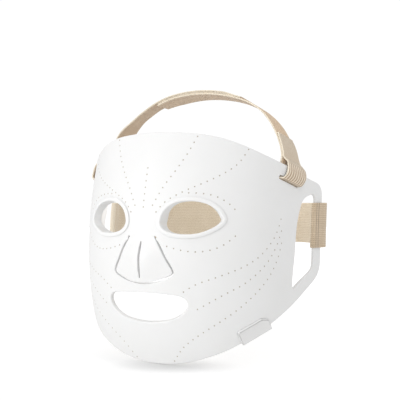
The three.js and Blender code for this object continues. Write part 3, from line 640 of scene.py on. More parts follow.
def slot_loop(side, grow=0.0):
    half_l, v0, v1, r = STRAP_W / 2 + 1 + grow, -0.6 - grow, 2.8 + grow, 1.0
    pts = []
    for cw, cv, a0 in ((half_l - r, v0 + r, -90), (half_l - r, v1 - r, 0), (-half_l + r, v1 - r, 90), (-half_l + r, v0 + r, 180)):
        for k in range(5):
            a = math.radians(a0 + 90 * k / 4)
            pts.append((SLOT_MID + cw + r * math.cos(a), cv + r * math.sin(a)))
    pts = resample(np.array(pts), spacing=0.9, closed=True)
    s, t = slot_point(pts[:, 0], pts[:, 1], side)
    return np.stack([s, t], -1)


def grown(loop, distance):
    return loop + outward(loop) * distance


def pocket(inset, spacing=1.6):
    """Outline of the hollow between the skins, drawn in by inset."""
    smax = POCKET_S - inset
    s = np.linspace(-smax, smax, int(2 * smax / spacing))
    a = np.abs(s) + 2 * inset
    b = np.clip((a - 110) / 5.5, 0, 1)
    top = (1 - b) * (edge_at(TOP_EDGE, s) - RIM_W - 0.6 - inset) + b * (27 - inset - 0.4 * np.maximum(0, a - 115.5))
    low = edge_at(LOW_EDGE, s) + RIM_W + 0.6 + inset
    # the hollow stays clear of the housing
    q = np.stack([s, low], -1)
    uvq = (q - np.array(H_AT)) @ M_UV.T
    lift = (np.abs(uvq[:, 0]) < _hu + 2.5 + inset) & (s > 0)
    need = np.array([housing_st(x, _hv + 2.0 + inset)[1] for x in uvq[:, 0]])
    low = np.where(lift, np.maximum(low, need), low)
    side_t = np.linspace(low[-1], top[-1], 40)[1:-1]
    loop = np.vstack([np.stack([s, low], -1), np.stack([np.full(38, smax), side_t], -1), np.stack([s, top], -1)[::-1],
                      np.stack([np.full(38, -smax), side_t[::-1]], -1)])
    return resample(loop, spacing=spacing, closed=True)


# ------------------------------------------------------------------ light rows
ROWS = [
    (7, [(0, 40), (0, 24.5), (0, 8.7)]),
    (13, [(8.2, 10.1), (15.6, 24.2), (24.2, 37.3), (32, 50.8), (38.1, 65)]),
    (18, [(11.7, 4.8), (18.5, 12.7), (32.7, 20.9), (47.4, 27.4), (61.5, 34.3), (73.8, 43), (81.3, 54.8)]),
    (8, [(37, 19.8), (48.2, 19.3), (59.2, 16.8), (69.3, 11.4), (74.6, 6.9)]),
    (11, [(22.1, -22), (32.9, -24.9), (44.8, -26.1), (56.3, -24.8), (67, -20.7), (76.1, -14.1)]),
    (20, [(119.8, -1.4), (116, -10.9), (109.8, -19.7), (98, -30.4), (83.2, -38.3), (61.1, -46), (44.5, -51.6), (34.5, -57.5)]),
    (19, [(120.9, -11), (114.2, -24.8), (103.7, -37.3), (85.6, -50.5), (64.9, -60.4), (44.3, -71.2)]),
    (27, [(121.3, -20.9), (117.9, -30.6), (109.5, -44.2), (97.8, -56.1), (79.5, -70), (60.2, -82), (41.1, -93.6), (28.3, -103.2), (17.9, -115.6)]),
]
lights = []
for count, row in ROWS:
    p = resample(crom(row), count)
    lights += [tuple(q) for q in p]
    if abs(row[0][0]) > 0.1 or abs(row[-1][0]) > 0.1:
        lights += [(-q[0], q[1]) for q in p]
lights = np.array(lights)

# ------------------------------------------------------------------ front shell
DOT_R, DOT_D = 0.60, 0.32
shell = Builder()
top0 = lambda s, t: np.zeros_like(np.asarray(s, float))
back_d = lambda s, t: -(MASK_T - (MASK_T - BAR_T) * ease((np.abs(np.asarray(s, float)) - 143) / 18))
hollow_d = lambda s, t: np.full_like(np.asarray(s, float), -SHELL_T)

loops = [(outline, outward(outline), outline_r, 0.6, "outer")]
eye_holes = [grown(eye_loop, 2.0), mirror(grown(eye_loop, 2.0))]
for e in eye_holes:
    loops.append((e, -outward(e), 0.3, 0.3, "band"))
loops.append((mouth_loop, -outward(mouth_loop), 0.9, 0.5, "band"))
loops.append((nose_loop, -outward(nose_loop), nose_r, 0.4, "band"))
for side in (1, -1):
    sl = slot_loop(side)
    loops.append((sl, -outward(sl), 0.5, 0.4, "outer"))
    lp = side_loop if side == 1 else mirror(side_loop)
    loops.append((lp, -outward(lp), 0.95, 0.6, "outer"))

front_loops, back_loops, band_loops = [], [], []
for loop, void, r, rb, kind in loops:
    rings, flat = edge_rings(loop, void, r, top0, back_d, rb, hold=0.3)
    if loop is nose_loop:
        shell.rings(rings[:4])
        # the rounded edge and wall of the nose opening carry the painted slit shade
        shell.rings(rings[3:8], mat=2)
        shell.rings(rings[7:])
    else:
        shell.rings(rings)
    front_loops.append(flat[0])
    if kind == "outer":
        back_loops.append(flat[-1])
    else:
        # a narrow rim round the opening, then a step up to the hollow
        q = loop - void * 2.4
        rim = [at(flat[-1][:, 0], flat[-1][:, 1], -MASK_T), at(q[:, 0], q[:, 1], -MASK_T), at(q[:, 0], q[:, 1], -SHELL_T)]
        shell.rings(rim)
        band_loops.append(q)

extra = []
for s0, t0 in lights:
    n = 10
    ang = np.arange(n) * 2 * math.pi / n
    ring = lambda r: np.stack([s0 + r * np.cos(ang), t0 + r * np.sin(ang)], -1)
    pts = np.vstack([[(s0, t0)], ring(DOT_R * 0.62), ring(DOT_R), ring(DOT_R * 1.7)])
    e = [(1 + k * n + i, 1 + k * n + (i + 1) % n) for k in range(3) for i in range(n)]
    extra.append((pts, e, [1] + [1] * n + [0] * (2 * n), [-DOT_D] * (n + 1) + [0.0] * (2 * n)))
# triangles at the dimple centres take the dot colour: the lights' tint plus painted shade
fill(shell, front_loops[0], front_loops[1:], 2.3, lambda s, t: 0.0, extra, mats=lambda tg: 1 if max(tg) == 1 else 0)

P_loop = pocket(0.0)
fill(shell, back_loops[0], back_loops[1:] + [P_loop], 3.4, lambda s, t: float(back_d(s, t)))
shell.rings([at(P_loop[:, 0], P_loop[:, 1], -MASK_T), at(P_loop[:, 0], P_loop[:, 1], -SHELL_T)])
fill(shell, P_loop, band_loops, 3.4, lambda s, t: -SHELL_T)
front = shell.make("front_shell_soft", [SILICONE, DOT_TINT_AND_SHADE, SLIT_SHADE])
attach(front, "mask")
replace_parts(front, "front_shell")

# ------------------------------------------------------------------ skin against the face
skin = Builder()
P_in = pocket(0.4)
skin_top = lambda s, t: np.full_like(np.asarray(s, float), SKIN_TOP)
skin_low = lambda s, t: np.full_like(np.asarray(s, float), -MASK_T)
tops, lows = [], []
inner_loops = [(P_in, outward(P_in))]
for q, (loop, void, r, rb, kind) in zip(band_loops, [l for l in loops if l[4] == "band"]):
    q2 = loop - void * 2.8
    inner_loops.append((q2, void))
for loop, void in inner_loops:
    rings, flat = edge_rings(loop, void, 0.1, skin_top, skin_low, 0.3, 2, 3)
    skin.rings(rings)
    tops.append(flat[0])
    lows.append(flat[-1])
fill(skin, tops[0], tops[1:], 4.0, lambda s, t: SKIN_TOP)
fill(skin, lows[0], lows[1:], 3.0, lambda s, t: -MASK_T)
rear = skin.make("rear_skin_soft", [SKIN])
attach(rear, "mask")
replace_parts(rear, "rear_skin")

# small windows over the lights, on the side towards the face
win = Builder()
for s0, t0 in lights:
    if not inside(np.array([(s0, t0)]), grown(lows[0], -2.4))[0]:
        continue
    n = 12
    ang = np.arange(n) * 2 * math.pi / n
    rings = []
    for r, d in ((1.75, -3.45), (1.7, -3.68), (1.35, -3.82), (0.7, -3.9)):
        rings.append(at(s0 + r * np.cos(ang), t0 + r * np.sin(ang), d))
    firsts = win.rings(rings)
    win.face(*[firsts[-1] + i for i in range(n)])
    win.face(*[firsts[0] + i for i in range(n)][::-1])
windows = win.make("light_windows", [LENS], outward_fix=True)
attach(windows, "mask")

# ------------------------------------------------------------------ eye shields
def shield(side, name):
    loop = eye_loop if side == 1 else eye_loop * [-1, 1]
    n_out = outward(loop)
    depth = 15 - 9.2 * np.clip((np.abs(loop[:, 0]) - 18) / 44, 0, 1)
    draft = 0.03 - 0.17 * ease(loop[:, 1] / 10)
    section = [(0.05, 0.4), (0.12, 0.78), (0.4, 1.1), (0.85, 1.28), (1.4, 1.34), (2.0, 1.28), (2.6, 1.12), (3.1, 0.9), (3.4, 0.66), (3.45, 0.5),
               (3.3, 0.36), (2.9, 0.34), (2.7, 0.06), (2.0, 0.06), (1.55, 0.06), (1.5, -0.2), (1.5, -4.0), (1.8, -4.25), (2.8, -4.35), (3.1, -4.5), (3.1, -4.9), (2.8, -5.1), (1.5, -5.45)]
    rings = []
    for o, d in section:
        q = loop + n_out * o
        rings.append(at(q[:, 0], q[:, 1], d))
    tail = [(1.5, -0.985, 0), (1.42, -1.0, 0), (0.35, -1.0, 0), (0.2, -0.97, 0)]
    for o, f, _ in tail:
        q = loop + n_out * (o - draft * depth * -f)[:, None]
        rings.append(at(q[:, 0], q[:, 1], f * depth))
    for f in (-0.8, -0.6, -0.4, -0.2, -0.05):
        q = loop + n_out * (0.15 - draft * depth * -f)[:, None]
        rings.append(at(q[:, 0], q[:, 1], f * depth))
    rings.append(rings[0])
    b = Builder()
    b.rings(rings)
    o = b.make(name, [SILICONE_EDGE], sharp=60)
    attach(o, "mask")
    return o


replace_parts(shield(1, "eye_shield_soft_left"), "eye_shield_left")
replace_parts(shield(-1, "eye_shield_soft_right"), "eye_shield_right")

# ------------------------------------------------------------------ nose flap
def bulge(s, t):
    r = np.clip((-14.4 - t) / 18, 0, 1)
    e = np.clip((t + 54) / 14, 0, 1)
    return 4.0 * (3 * r * r - 2 * r**3) * (0.55 + 0.45 * e) * np.exp(-((s / 15) ** 2))


flap_side = resample(crom(np.array(FLAP_SIDE, float)), spacing=0.9)
hinge_line2 = np.stack([np.linspace(-11.1, 11.1, 24)[1:-1], np.full(22, HINGE_T)], -1)
flap_loop = np.vstack([hinge_line2, flap_side, (flap_side[:-1] * [-1, 1])[::-1]])
# right of the middle the lower edge is sharp, and its gap is open
flap_open = ease((-42 - flap_loop[:, 1]) / 3) * ease((flap_loop[:, 0] + 6) / 5) * ease((21 - flap_loop[:, 0]) / 5)
flap_r = (0.3 + 0.3 * ease((-40 - flap_loop[:, 1]) / 5) * (1 - flap_open)) * np.clip((HINGE_T - flap_loop[:, 1]) / 4.0, 0, 1)
slit = []
for k in range(26):
    t = -18.4 - (47 - 18.4) * k / 25
    w = 1.02 * math.sin(math.pi * min(1, max(0, (k + 0.4) / 25.8))) ** 0.24
    slit.append((w, t))
slit = np.array(slit)
slit_loop = np.vstack([slit, (slit * [-1, 1])[::-1]])
slit_loop = resample(slit_loop, spacing=0.8, closed=True)
flap_back = lambda s, t: bulge(s, t) - (1.2 + 1.2 * ease((HINGE_T - np.asarray(t, float)) / 5.0))
fb = Builder()
f_top, f_low = [], []
flap_skirt = (np.where(flap_loop[:, 0] > 0, 0.85, 1.3) - 0.4 * ease((-41 - flap_loop[:, 1]) / 4)) * ease((HINGE_T - 0.3 - flap_loop[:, 1]) / 1.8)
flap_skirt = flap_skirt * (1 - flap_open) - 0.15 * flap_open
slit_skirt = np.minimum(0.65, np.abs(slit_loop[:, 0]) * 0.65)
for loop, void, r, rb, skirt in ((flap_loop, outward(flap_loop), flap_r, flap_r * 0.6, flap_skirt),
                                 (slit_loop, -outward(slit_loop), 0.25, 0.2, slit_skirt)):
    rings, flat = edge_rings(loop, void, r, bulge, flap_back, rb, 5, 3, hold=0.3, skirt=skirt)
    fb.rings(rings[:5])
    # the edges of the flap and of its centre slit carry the painted slit shade
    fb.rings(rings[4:8], mat=1)
    fb.rings(rings[7:])
    f_top.append(flat[0])
    f_low.append(flat[-1])
fill(fb, f_top[0], f_top[1:], 1.5, lambda s, t: float(bulge(np.array(s), np.array(t))))
fill(fb, f_low[0], f_low[1:], 2.2, lambda s, t: float(flap_back(np.array(s), np.array(t))))
flap = fb.make("nose_flap_soft", [SILICONE, SLIT_SHADE])
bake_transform(flap)
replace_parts(flap, "nose_flap")

# ------------------------------------------------------------------ webbing
def section(width, thick, ribs=0, amp=0.0):
    """Half section of a webbing: positions across, and half thickness on the two faces."""
    edge = thick / 2
    flat = np.linspace(-width / 2 + edge, width / 2 - edge, 61)
    arc = [math.pi / 2 * k / 4 for k in range(1, 5)]
    left = [-width / 2 + edge - edge * math.sin(a) for a in arc][::-1]
    a = np.array(left + list(flat) + [-x for x in left][::-1])
    h = np.full(len(a), edge)
    for i, ang in enumerate(arc[::-1]):
        h[i] = edge * math.cos(ang)
        h[-1 - i] = edge * math.cos(ang)
    wave = np.zeros(len(a))
    if ribs:
        wave = amp * np.cos(2 * math.pi * ribs * (a / width + 0.5)) * np.clip((width / 2 - np.abs(a)) / 1.5, 0, 1)
    return a, h, wave


def ribbon_mesh(name, rows, width, thick, mats, ribs=0, amp=0.0, flip=False, v0=0.0, mat_rows=None, edge_highlight_mat=None):
    """rows(a) gives, for positions across a (mm), a grid of points (stations, across, 3)."""
    a, h, wave = section(width, thick, ribs, amp)
    g = rows(a)
    du = np.gradient(g, axis=0)
    dv = np.gradient(g, axis=1)
    # use a steady across direction at the rounded edges
    nrm = np.cross(du, dv)
    nrm /= np.linalg.norm(nrm, axis=2, keepdims=True) + 1e-12
    if flip:
        nrm = -nrm
    mid = g[:, g.shape[1] // 2]
    along = np.concatenate([[0], np.cumsum(np.linalg.norm(np.diff(mid, axis=0), axis=1))]) + v0
    up = g + nrm * (h + wave)[None, :, None]
    dn = g - nrm * (h - wave * 0.3)[None, :, None]
    uv = np.stack(np.meshgrid(a / 10, along / 10), -1)
    b = Builder()
    ns, na = g.shape[:2]
    row_mat = [0] * ns if mat_rows is None else mat_rows(mid)
    fu = b.add(up.reshape(-1, 3), uv.reshape(-1, 2))
    fd = b.add(dn.reshape(-1, 3), uv.reshape(-1, 2))
    for k in range(ns - 1):
        m = row_mat[k]
        # the outer columns take the edge material, paler as a painted highlight on the rounded edges
        me = m if edge_highlight_mat is None else edge_highlight_mat
        for j in range(na - 1):
            p, q = k * na + j, (k + 1) * na + j
            mj = me if j < 5 or j >= na - 6 else m
            b.face(fu + p, fu + p + 1, fu + q + 1, fu + q, mat=mj)
            b.face(fd + p, fd + q, fd + q + 1, fd + p + 1, mat=mj)
        # rounded edges close onto each other
        b.face(fu + k * na, fu + (k + 1) * na, fd + (k + 1) * na, fd + k * na, mat=me)
        e = na - 1
        b.face(fu + k * na + e, fd + k * na + e, fd + (k + 1) * na + e, fu + (k + 1) * na + e, mat=me)
    for k in (0, ns - 1):
        for j in range(na - 1):
            p = k * na + j
            b.face(fu + p, fd + p, fd + p + 1, fu + p + 1, mat=0)
    o = b.make(name, mats, sharp=50)
    return o, along


def hermite(a, b, da, db, n):
    """n points strictly between a and b with end tangents da and db (arrays of points)."""
    out = []
    for k in range(1, n + 1):
        x = k / (n + 1)
        h00, h10 = 2 * x**3 - 3 * x**2 + 1, x**3 - 2 * x**2 + x
        h01, h11 = -2 * x**3 + 3 * x**2, x**3 - x**2
        out.append(h00 * a + h10 * da + h01 * b + h11 * db)
    return out


def join(first, second, n):
    """Two grids of points joined by a smooth bridge of n rows."""
    da = first[-1] - first[-2]
    db = second[1] - second[0]
    gap = np.linalg.norm(second[0] - first[-1], axis=1, keepdims=True)
    da = da / (np.linalg.norm(da, axis=1, keepdims=True) + 1e-9) * gap
    db = db / (np.linalg.norm(db, axis=1, keepdims=True) + 1e-9) * gap
    return np.concatenate([first, np.array(hermite(first[-1], second[0], da, db, n)), second])


# crown strap
ARCH = [(91.3, 85.8, 42), (90.9, 88.6, 48), (89, 91.6, 55), (86.2, 94.2, 61.5), (82.7, 96.7, 68.2), (75.5, 99.2, 79.6),
        (66.6, 101.3, 89.3), (56.1, 103, 96.8), (44.8, 104.1, 102.2), (33.3, 104.9, 105.9), (22.1, 105.5, 108.3),
        (11, 105.8, 109.8), (0, 105.9, 110.3)]
ACROSS_SIDE, ACROSS_CROWN = np.array([0.2, 0.94, -0.26]), np.array([0, 0.9965, -0.085])
OVERLAP, PLY_OUT, PLY_IN, EDGE_V = 2.7, 1.65, -5.25, 12.4
_full = [(-x, y, z) for x, y, z in ARCH] + ARCH[:-1][::-1]
ARCH_P = resample(crom(_full, per=40), 161)
ARCH_P[:, 0] += np.where(ARCH_P[:, 0] < 0, 3.3 * ease((ARCH_P[:, 2] - 73) / 18) * ease((108 - ARCH_P[:, 2]) / 14), 0)
_al = np.gradient(ARCH_P, axis=0)
_al /= np.linalg.norm(_al, axis=1, keepdims=True)
_e = ease((np.abs(ARCH_P[:, 0]) - 30) / 60)[:, None]
_side = np.stack([np.sign(ARCH_P[:, 0]) * ACROSS_SIDE[0], np.full(161, ACROSS_SIDE[1]), np.full(161, ACROSS_SIDE[2])], -1)
ARCH_W = ACROSS_CROWN * (1 - _e) + _side * _e
_up = ease((ARCH_P[:, 2] - 72) / 18)
_turn = ease((-20 - ARCH_P[:, 0]) / 30)
ARCH_W[:, 0] += _turn * (0.11 * (1 - _up) * ease((ARCH_P[:, 2] - 42) / 16) - 0.16 * _up)
ARCH_W[:, 2] += _turn * 0.09 * _up
ARCH_W -= _al * (ARCH_W * _al).sum(1, keepdims=True)
ARCH_W /= np.linalg.norm(ARCH_W, axis=1, keepdims=True)
ARCH_N = np.cross(_al, ARCH_W)
LAST = 160
ARCH_STEP = float(np.linalg.norm(np.diff(ARCH_P, axis=0), axis=1).mean())


def arch_grid(index, lift, a, twist=None):
    """Points of the strap at fractional arch indices, lifted outward, at positions a across."""
    i = np.clip(np.asarray(index, float), 0, LAST)
    pick = lambda arr: np.stack([np.interp(i, np.arange(161), arr[:, k]) for k in range(3)], -1)
    p, w, n = pick(ARCH_P), pick(ARCH_W), pick(ARCH_N)
    lift = np.broadcast_to(lift, i.shape)
    a = np.asarray(a, float)
    return (p + n * lift[:, None])[:, None, :] + w[:, None, :] * a[None, :, None]


def wrap_grid(side, a, v_in, v_out, n_arc=18, bulge=0.0):
    """Fold through the slot: from v_in on the inner ply, round the bar, to v_out on the outer ply.
    Without v_out it stops under the bar."""
    path = [(v, PLY_IN) for v in np.arange(v_in, 3.4, -1.0)]
    cv, cd, rv, rd = 3.0, (PLY_OUT + PLY_IN) / 2, 2.0, (PLY_OUT - PLY_IN) / 2
    for k in range(n_arc + 1 if v_out else n_arc // 2 + 1):
        ang = math.pi * k / n_arc
        path.append((cv - rv * math.sin(ang), cd - rd * math.cos(ang)))
    if v_out:
        path += [(v, PLY_OUT) for v in np.arange(4.0, v_out + 0.01, 1.0)]
    path = [(v, d + (bulge * float(ease((v - 0.5) / 4)) if d > 0 else 0.0)) for v, d in path]
    rows = []
    for v, d in path:
        s, t = slot_point(SLOT_MID + np.asarray(a), v, side)
        rows.append(at(s, t, d))
    return np.array(rows)


def tab_lift(i):
    return OVERLAP + 4.2 * (1 - ease((LAST - i) / 13))


def right_lift(i):
    return OVERLAP * ease((i - 12) / 26) - (OVERLAP - 1.5) * ease((np.asarray(i, float) - OUTER_END + 13) / 11)


def nearest(x):
    k = int(np.argmin(np.abs(ARCH_P[:, 0] - x)))
    return k


INNER_END, OUTER_END = nearest(-41), nearest(44)
TAB_TOP = LAST - 18


# the two edges of the outer ply on the wearer's left, from the slot up to the end of the tab
TAB_F = crom([(93.2, 67.0, 32.6), (94.5, 70.8, 35.3), (95.0, 73.3, 38.6), (94.8, 74.7, 42.0), (94.2, 75.8, 44.8), (93.3, 77.0, 47.0),
              (89.7, 77.0, 50.9), (88.9, 78.2, 54.8), (87.4, 79.5, 59.6), (85.0, 81.8, 65.5), (82.0, 84.5, 72.0)], per=10)
TAB_B = crom([(100.8, 90.1, 25.1), (102.2, 94.0, 28.4), (102.9, 96.3, 31.6), (102.7, 97.8, 35.2), (101.5, 99.0, 38.3), (98.9, 100.6, 41.2),
              (96.4, 101.6, 43.8), (94.6, 102.4, 48.2), (93.2, 103.2, 53.0), (90.9, 104.9, 58.8), (86.6, 107.7, 66.2)], per=10)


def outer_rows(u, a):
    """Rows of the outer ply at steps u (0 at the slot, 10 at the end of the tab)."""
    k = np.clip(np.asarray(u, float) * 10, 0, len(TAB_F) - 1)
    f = np.stack([np.interp(k, np.arange(len(TAB_F)), TAB_F[:, c]) for c in range(3)], -1)
    b = np.stack([np.interp(k, np.arange(len(TAB_B)), TAB_B[:, c]) for c in range(3)], -1)
    x = (np.asarray(a, float) / STRAP_W + 0.5)[None, :, None]
    # the ply follows the round of the wing between its edges
    crown = 4 * x * (1 - x) * (1.1 * (1 - ease(k / 45)))[:, None, None]
    n = np.cross(np.gradient(f + b, axis=0), b - f)
    n /= np.linalg.norm(n, axis=1, keepdims=True)
    n *= np.sign(n[:, :1])
    return f[:, None] * (1 - x) + b[:, None] * x + n[:, None] * crown


def left_rows(a):
    idx = np.arange(INNER_END, LAST - 5 + 0.01, 1.0)
    span = arch_grid(idx, 0.0, a)
    fold = wrap_grid(1, a, 9.4, None)
    return join(join(span, fold, 6), outer_rows(np.linspace(0.3, 6.2, 30), a), 6)


def left_mats(mid):
    return [1 if p[0] > 60 and p[2] < 41.5 else 3 if k > len(mid) - 30 else 0 for k, p in enumerate(mid)]


left_web, left_run = ribbon_mesh("crown_webbing_left", left_rows, STRAP_W, STRAP_T, [WEB, WEB_WRAP, CREAM_AND_EDGE_HIGHLIGHT, WEB_TAB], ribs=9, amp=0.2, mat_rows=left_mats, edge_highlight_mat=2)
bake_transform(left_web)
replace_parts(left_web, "crown_strap_left_half", "crown_strap_wrap_left")


def right_rows(a):
    idx = np.arange(OUTER_END, 5 - 0.01, -1.0)
    span = arch_grid(idx, right_lift(idx), a)
    fold = wrap_grid(-1, a, 9.4, 11.0, bulge=3.4)
    i2 = np.arange(5, 17.01, 1.0)
    end = arch_grid(i2, right_lift(i2) + 1.75 + 5.15 * (1 - ease(i2 / 12)), a)
    return join(join(span, fold, 6), end, 6)


right_web, right_run = ribbon_mesh("crown_webbing_right", right_rows, STRAP_W, STRAP_T, [WEB, CREAM_AND_EDGE_HIGHLIGHT], ribs=9, amp=0.16, flip=True, edge_highlight_mat=1)
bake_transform(right_web)
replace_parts(right_web, "crown_strap_right_half", "crown_strap_wrap_right", "crown_strap_right_end")


def tab_rows(a):
    return outer_rows(np.linspace(6.2, 10.0, 20), a)


tab, tab_run = ribbon_mesh("crown_tab_soft", tab_rows, STRAP_W, STRAP_T, [WEB_TAB, CREAM_AND_EDGE_HIGHLIGHT], ribs=9, amp=0.04, edge_highlight_mat=1)
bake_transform(tab)
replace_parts(tab, "crown_strap_tab")


def patch_rows(a):
    i = np.arange(nearest(-41) + 0.5, nearest(38) + 0.01, 1.0)
    return arch_grid(i, right_lift(i) / 2, a)


patch, _ = ribbon_mesh("crown_patch_soft", patch_rows, STRAP_W - 0.9, 1.24, [HOOK])
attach(patch, "crown_strap")
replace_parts(patch, "crown_strap_overlap_hook")

# rear band
BAND_Z0, BAND_Z1, BAND_T = -27.0, 12.0, 1.3
BAR_S0, BAND_OUT, BAND_IN = 170.3, 1.14, -3.54
BAND_PATH = [(105.2, 125.7), (103.7, 133.7), (101.3, 144), (97.6, 156), (89.5, 172), (71.5, 188), (40, 199), (0, 203.5)]
_bf = [(-x, y) for x, y in BAND_PATH] + BAND_PATH[:-1][::-1]
BAND_P = resample(crom(_bf, per=40), 121)
_bt = np.gradient(BAND_P, axis=0)
_bt /= np.linalg.norm(_bt, axis=1, keepdims=True)
BAND_N = np.stack([-_bt[:, 1], _bt[:, 0]], -1)
B_LAST = 120
BAND_W = BAND_Z1 - BAND_Z0
BAND_MID = (BAND_Z0 + BAND_Z1) / 2


def band_grid(index, lift, a):
    i = np.clip(np.asarray(index, float), 0, B_LAST)
    p = np.stack([np.interp(i, np.arange(121), BAND_P[:, k]) for k in range(2)], -1)
    n = np.stack([np.interp(i, np.arange(121), BAND_N[:, k]) for k in range(2)], -1)
    follow = 1 - ease(np.minimum(i, B_LAST - i) / 14)
    z = BAND_MID + np.asarray(a, float)
    lift = np.broadcast_to(lift, i.shape)
    xy = p + n * lift[:, None]
    g = np.zeros((len(i), len(z), 3))
    g[:, :, 0] = xy[:, 0][:, None]
    g[:, :, 1] = xy[:, 1][:, None] + follow[:, None] * profile(z)[None]
    # behind the head the band's upper edge stands a little higher than at the bars
    rise = 1.7 * ease((xy[:, 1] - 150) / 30) * ease((40 - xy[:, 0]) / 40)
    g[:, :, 2] = z[None] + rise[:, None] * ((z - BAND_Z0) / BAND_W)[None]
    return g


def bar_grid(side, a, s_in, s_out, n_arc=16):
    inn, out = BAND_IN, BAND_OUT
    s0 = BAR_S0 - 0.5 - BAND_T / 2
    path = [(s, inn) for s in np.arange(s_in, s0 + 2.1, -0.9)]
    cs, cd, rs, rd = s0 + 1.5, (inn + out) / 2, 1.5, (out - inn) / 2
    for k in range(n_arc + 1):
        ang = math.pi * k / n_arc
        path.append((cs - rs * math.sin(ang), cd - rd * math.cos(ang)))
    path += [(s, out) for s in np.linspace(s0 + 2.1, s_out, 14)]
    z = BAND_MID + np.asarray(a, float)
    return np.array([at(np.full_like(z, side * s), z, d) for s, d in path])


def band_tab_lift(i):
    return OVERLAP + 0.05 + 1.9 * (1 - ease((B_LAST - i) / 7))


def band_rows(a):
    span = band_grid(np.arange(5, B_LAST - 5 + 0.01, 1.0), 0.0, a)
    left = bar_grid(1, a, 178.5, 181.0)
    right = bar_grid(-1, a, 178.5, 181.0)
    i2 = np.arange(5, 14.01, 1.0)
    end = band_grid(i2, 2.1 + 2.5 * (1 - ease(i2 / 9)), a)
    body = join(span, left, 6)
    body = join(right[::-1], body, 6)
    return join(end[::-1], body, 6)


def band_mats(mid):
    """The folds round the bars are a little darker, with two rows of stitches near the bar."""
    c = (mid[1:] + mid[:-1]) / 2
    inner = np.array([at(s, BAND_MID, BAND_IN) for s in np.arange(170, 180, 0.5)] + [at(169.35, BAND_MID, -3.0)])
    outer = np.array([at(s, BAND_MID, BAND_OUT) for s in np.arange(170, 180, 0.5)] + [at(169.15, BAND_MID, d) for d in (-1.6, -1.2, -0.2)])
    near = lambda p, q: float(np.linalg.norm(q - p, axis=1).min())
    m = [0 if p[1] > 126.3 or (p[0] > 0 and near(p, inner) < near(p, outer)) else
         1 if p[0] > 0 else (1 if abs(p[1] - 109) < 0.5 else 3) if p[1] < 112.5 else 0 for p in c]
    for side in (1, -1):
        for s in (171.2, 173.5):
            q = at(side * s, BAND_MID, BAND_OUT)
            m[int(np.argmin(np.linalg.norm(c - q, axis=1)))] = 2
    return m


band, band_run = ribbon_mesh("rear_band_soft", band_rows, BAND_W, BAND_T, [BAND, BAND_WRAP, SEAM, CREAM_AND_EDGE_HIGHLIGHT], ribs=24, amp=0.05, mat_rows=band_mats)
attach(band, "rear_band")
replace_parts(band, "rear_band_span", "rear_band_wrap_left", "rear_band_wrap_right", "rear_band_right_end")


def band_tab_rows(a):
    z = BAND_MID + np.asarray(a, float)
    low = np.array([at(np.full_like(z, 181.0), z, BAND_OUT), at(np.full_like(z, 182.0), z, BAND_OUT + 0.03)])
    idx = np.arange(B_LAST - 3, B_LAST - 21 - 0.01, -1.0)
    return join(low, band_grid(idx, band_tab_lift(idx), a), 4)


rtab, rtab_run = ribbon_mesh("rear_tab_soft", band_tab_rows, BAND_W, BAND_T, [BAND_WRAP], ribs=24, amp=0.05)
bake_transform(rtab)
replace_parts(rtab, "rear_band_tab")

# ------------------------------------------------------------------ CAD nodes that stay
def cover(name, mat, bevel=0.0, swell=0.0):
    o = NODES[name]
    if not o.material_slots:
        o.data.materials.append(mat)
    for ms in o.material_slots:
        ms.material = mat
    if bevel:
        b = o.modifiers.new("edge", "BEVEL")
        b.width, b.segments, b.limit_method, b.angle_limit = bevel, 3, "ANGLE", math.radians(35)
        b.harden_normals = False
    if swell:
        d = o.modifiers.new("swell", "DISPLACE")
        d.strength, d.mid_level = swell, 0.0
    return o


STRIP = soft_plastic("amber_strip", (0.72, 0.46, 0.14), (0.66, 0.41, 0.12), 0.4, grain=3000)
RIBBON = soft_plastic("amber_ribbon", (0.64, 0.38, 0.10), (0.58, 0.34, 0.09), 0.35, grain=3000)
BOARD = soft_plastic("green_board", (0.05, 0.22, 0.12), (0.04, 0.17, 0.09), 0.4, grain=2500)
STEEL, _nt, _b = material("inlet_steel", (0.62, 0.63, 0.65), 0.28, 1.0)
_n = node(_nt, "ShaderNodeTexNoise", Scale=600.0, Detail=3.0)
link(_nt, coords(_nt), _n.inputs["Vector"])
bump(_nt, _b, _n.outputs["Fac"], 0.00002, 0.4)
for name in NODES:
    if name.startswith("led_strip"):
        cover(name, STRIP)
    elif name.startswith("flex_ribbon"):
        cover(name, RIBBON)
cover("driver_board", BOARD)
cover("charging_inlet", STEEL)
cover("inlet_housing_front", HOUSE, 0.0006, 0.00022)
cover("inlet_housing_back", HOUSE, 0.0004)
for name in ("crown_strap_tab_hook", "rear_band_tab_hook"):
    cover(name, HOOK, 0.0001)

# ------------------------------------------------------------------ floor, light, camera
floor_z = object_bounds()[0].z - 0.0002
fm = bpy.data.meshes.new("floor")
n = 96
fv = [(3.2 * math.cos(2 * math.pi * k / n), 0.1 + 3.2 * math.sin(2 * math.pi * k / n), floor_z) for k in range(n)]
fm.from_pydata(fv, [], [list(range(n))])
floor = bpy.data.objects.new("floor", fm)
bpy.context.scene.collection.objects.link(floor)
FLOOR, _nt, _b = material("floor_pale", (0.86, 0.86, 0.86), 0.8)
_b.inputs["Emission Color"].default_value = (1, 1, 1, 1)
_b.inputs["Emission Strength"].default_value = 0.08
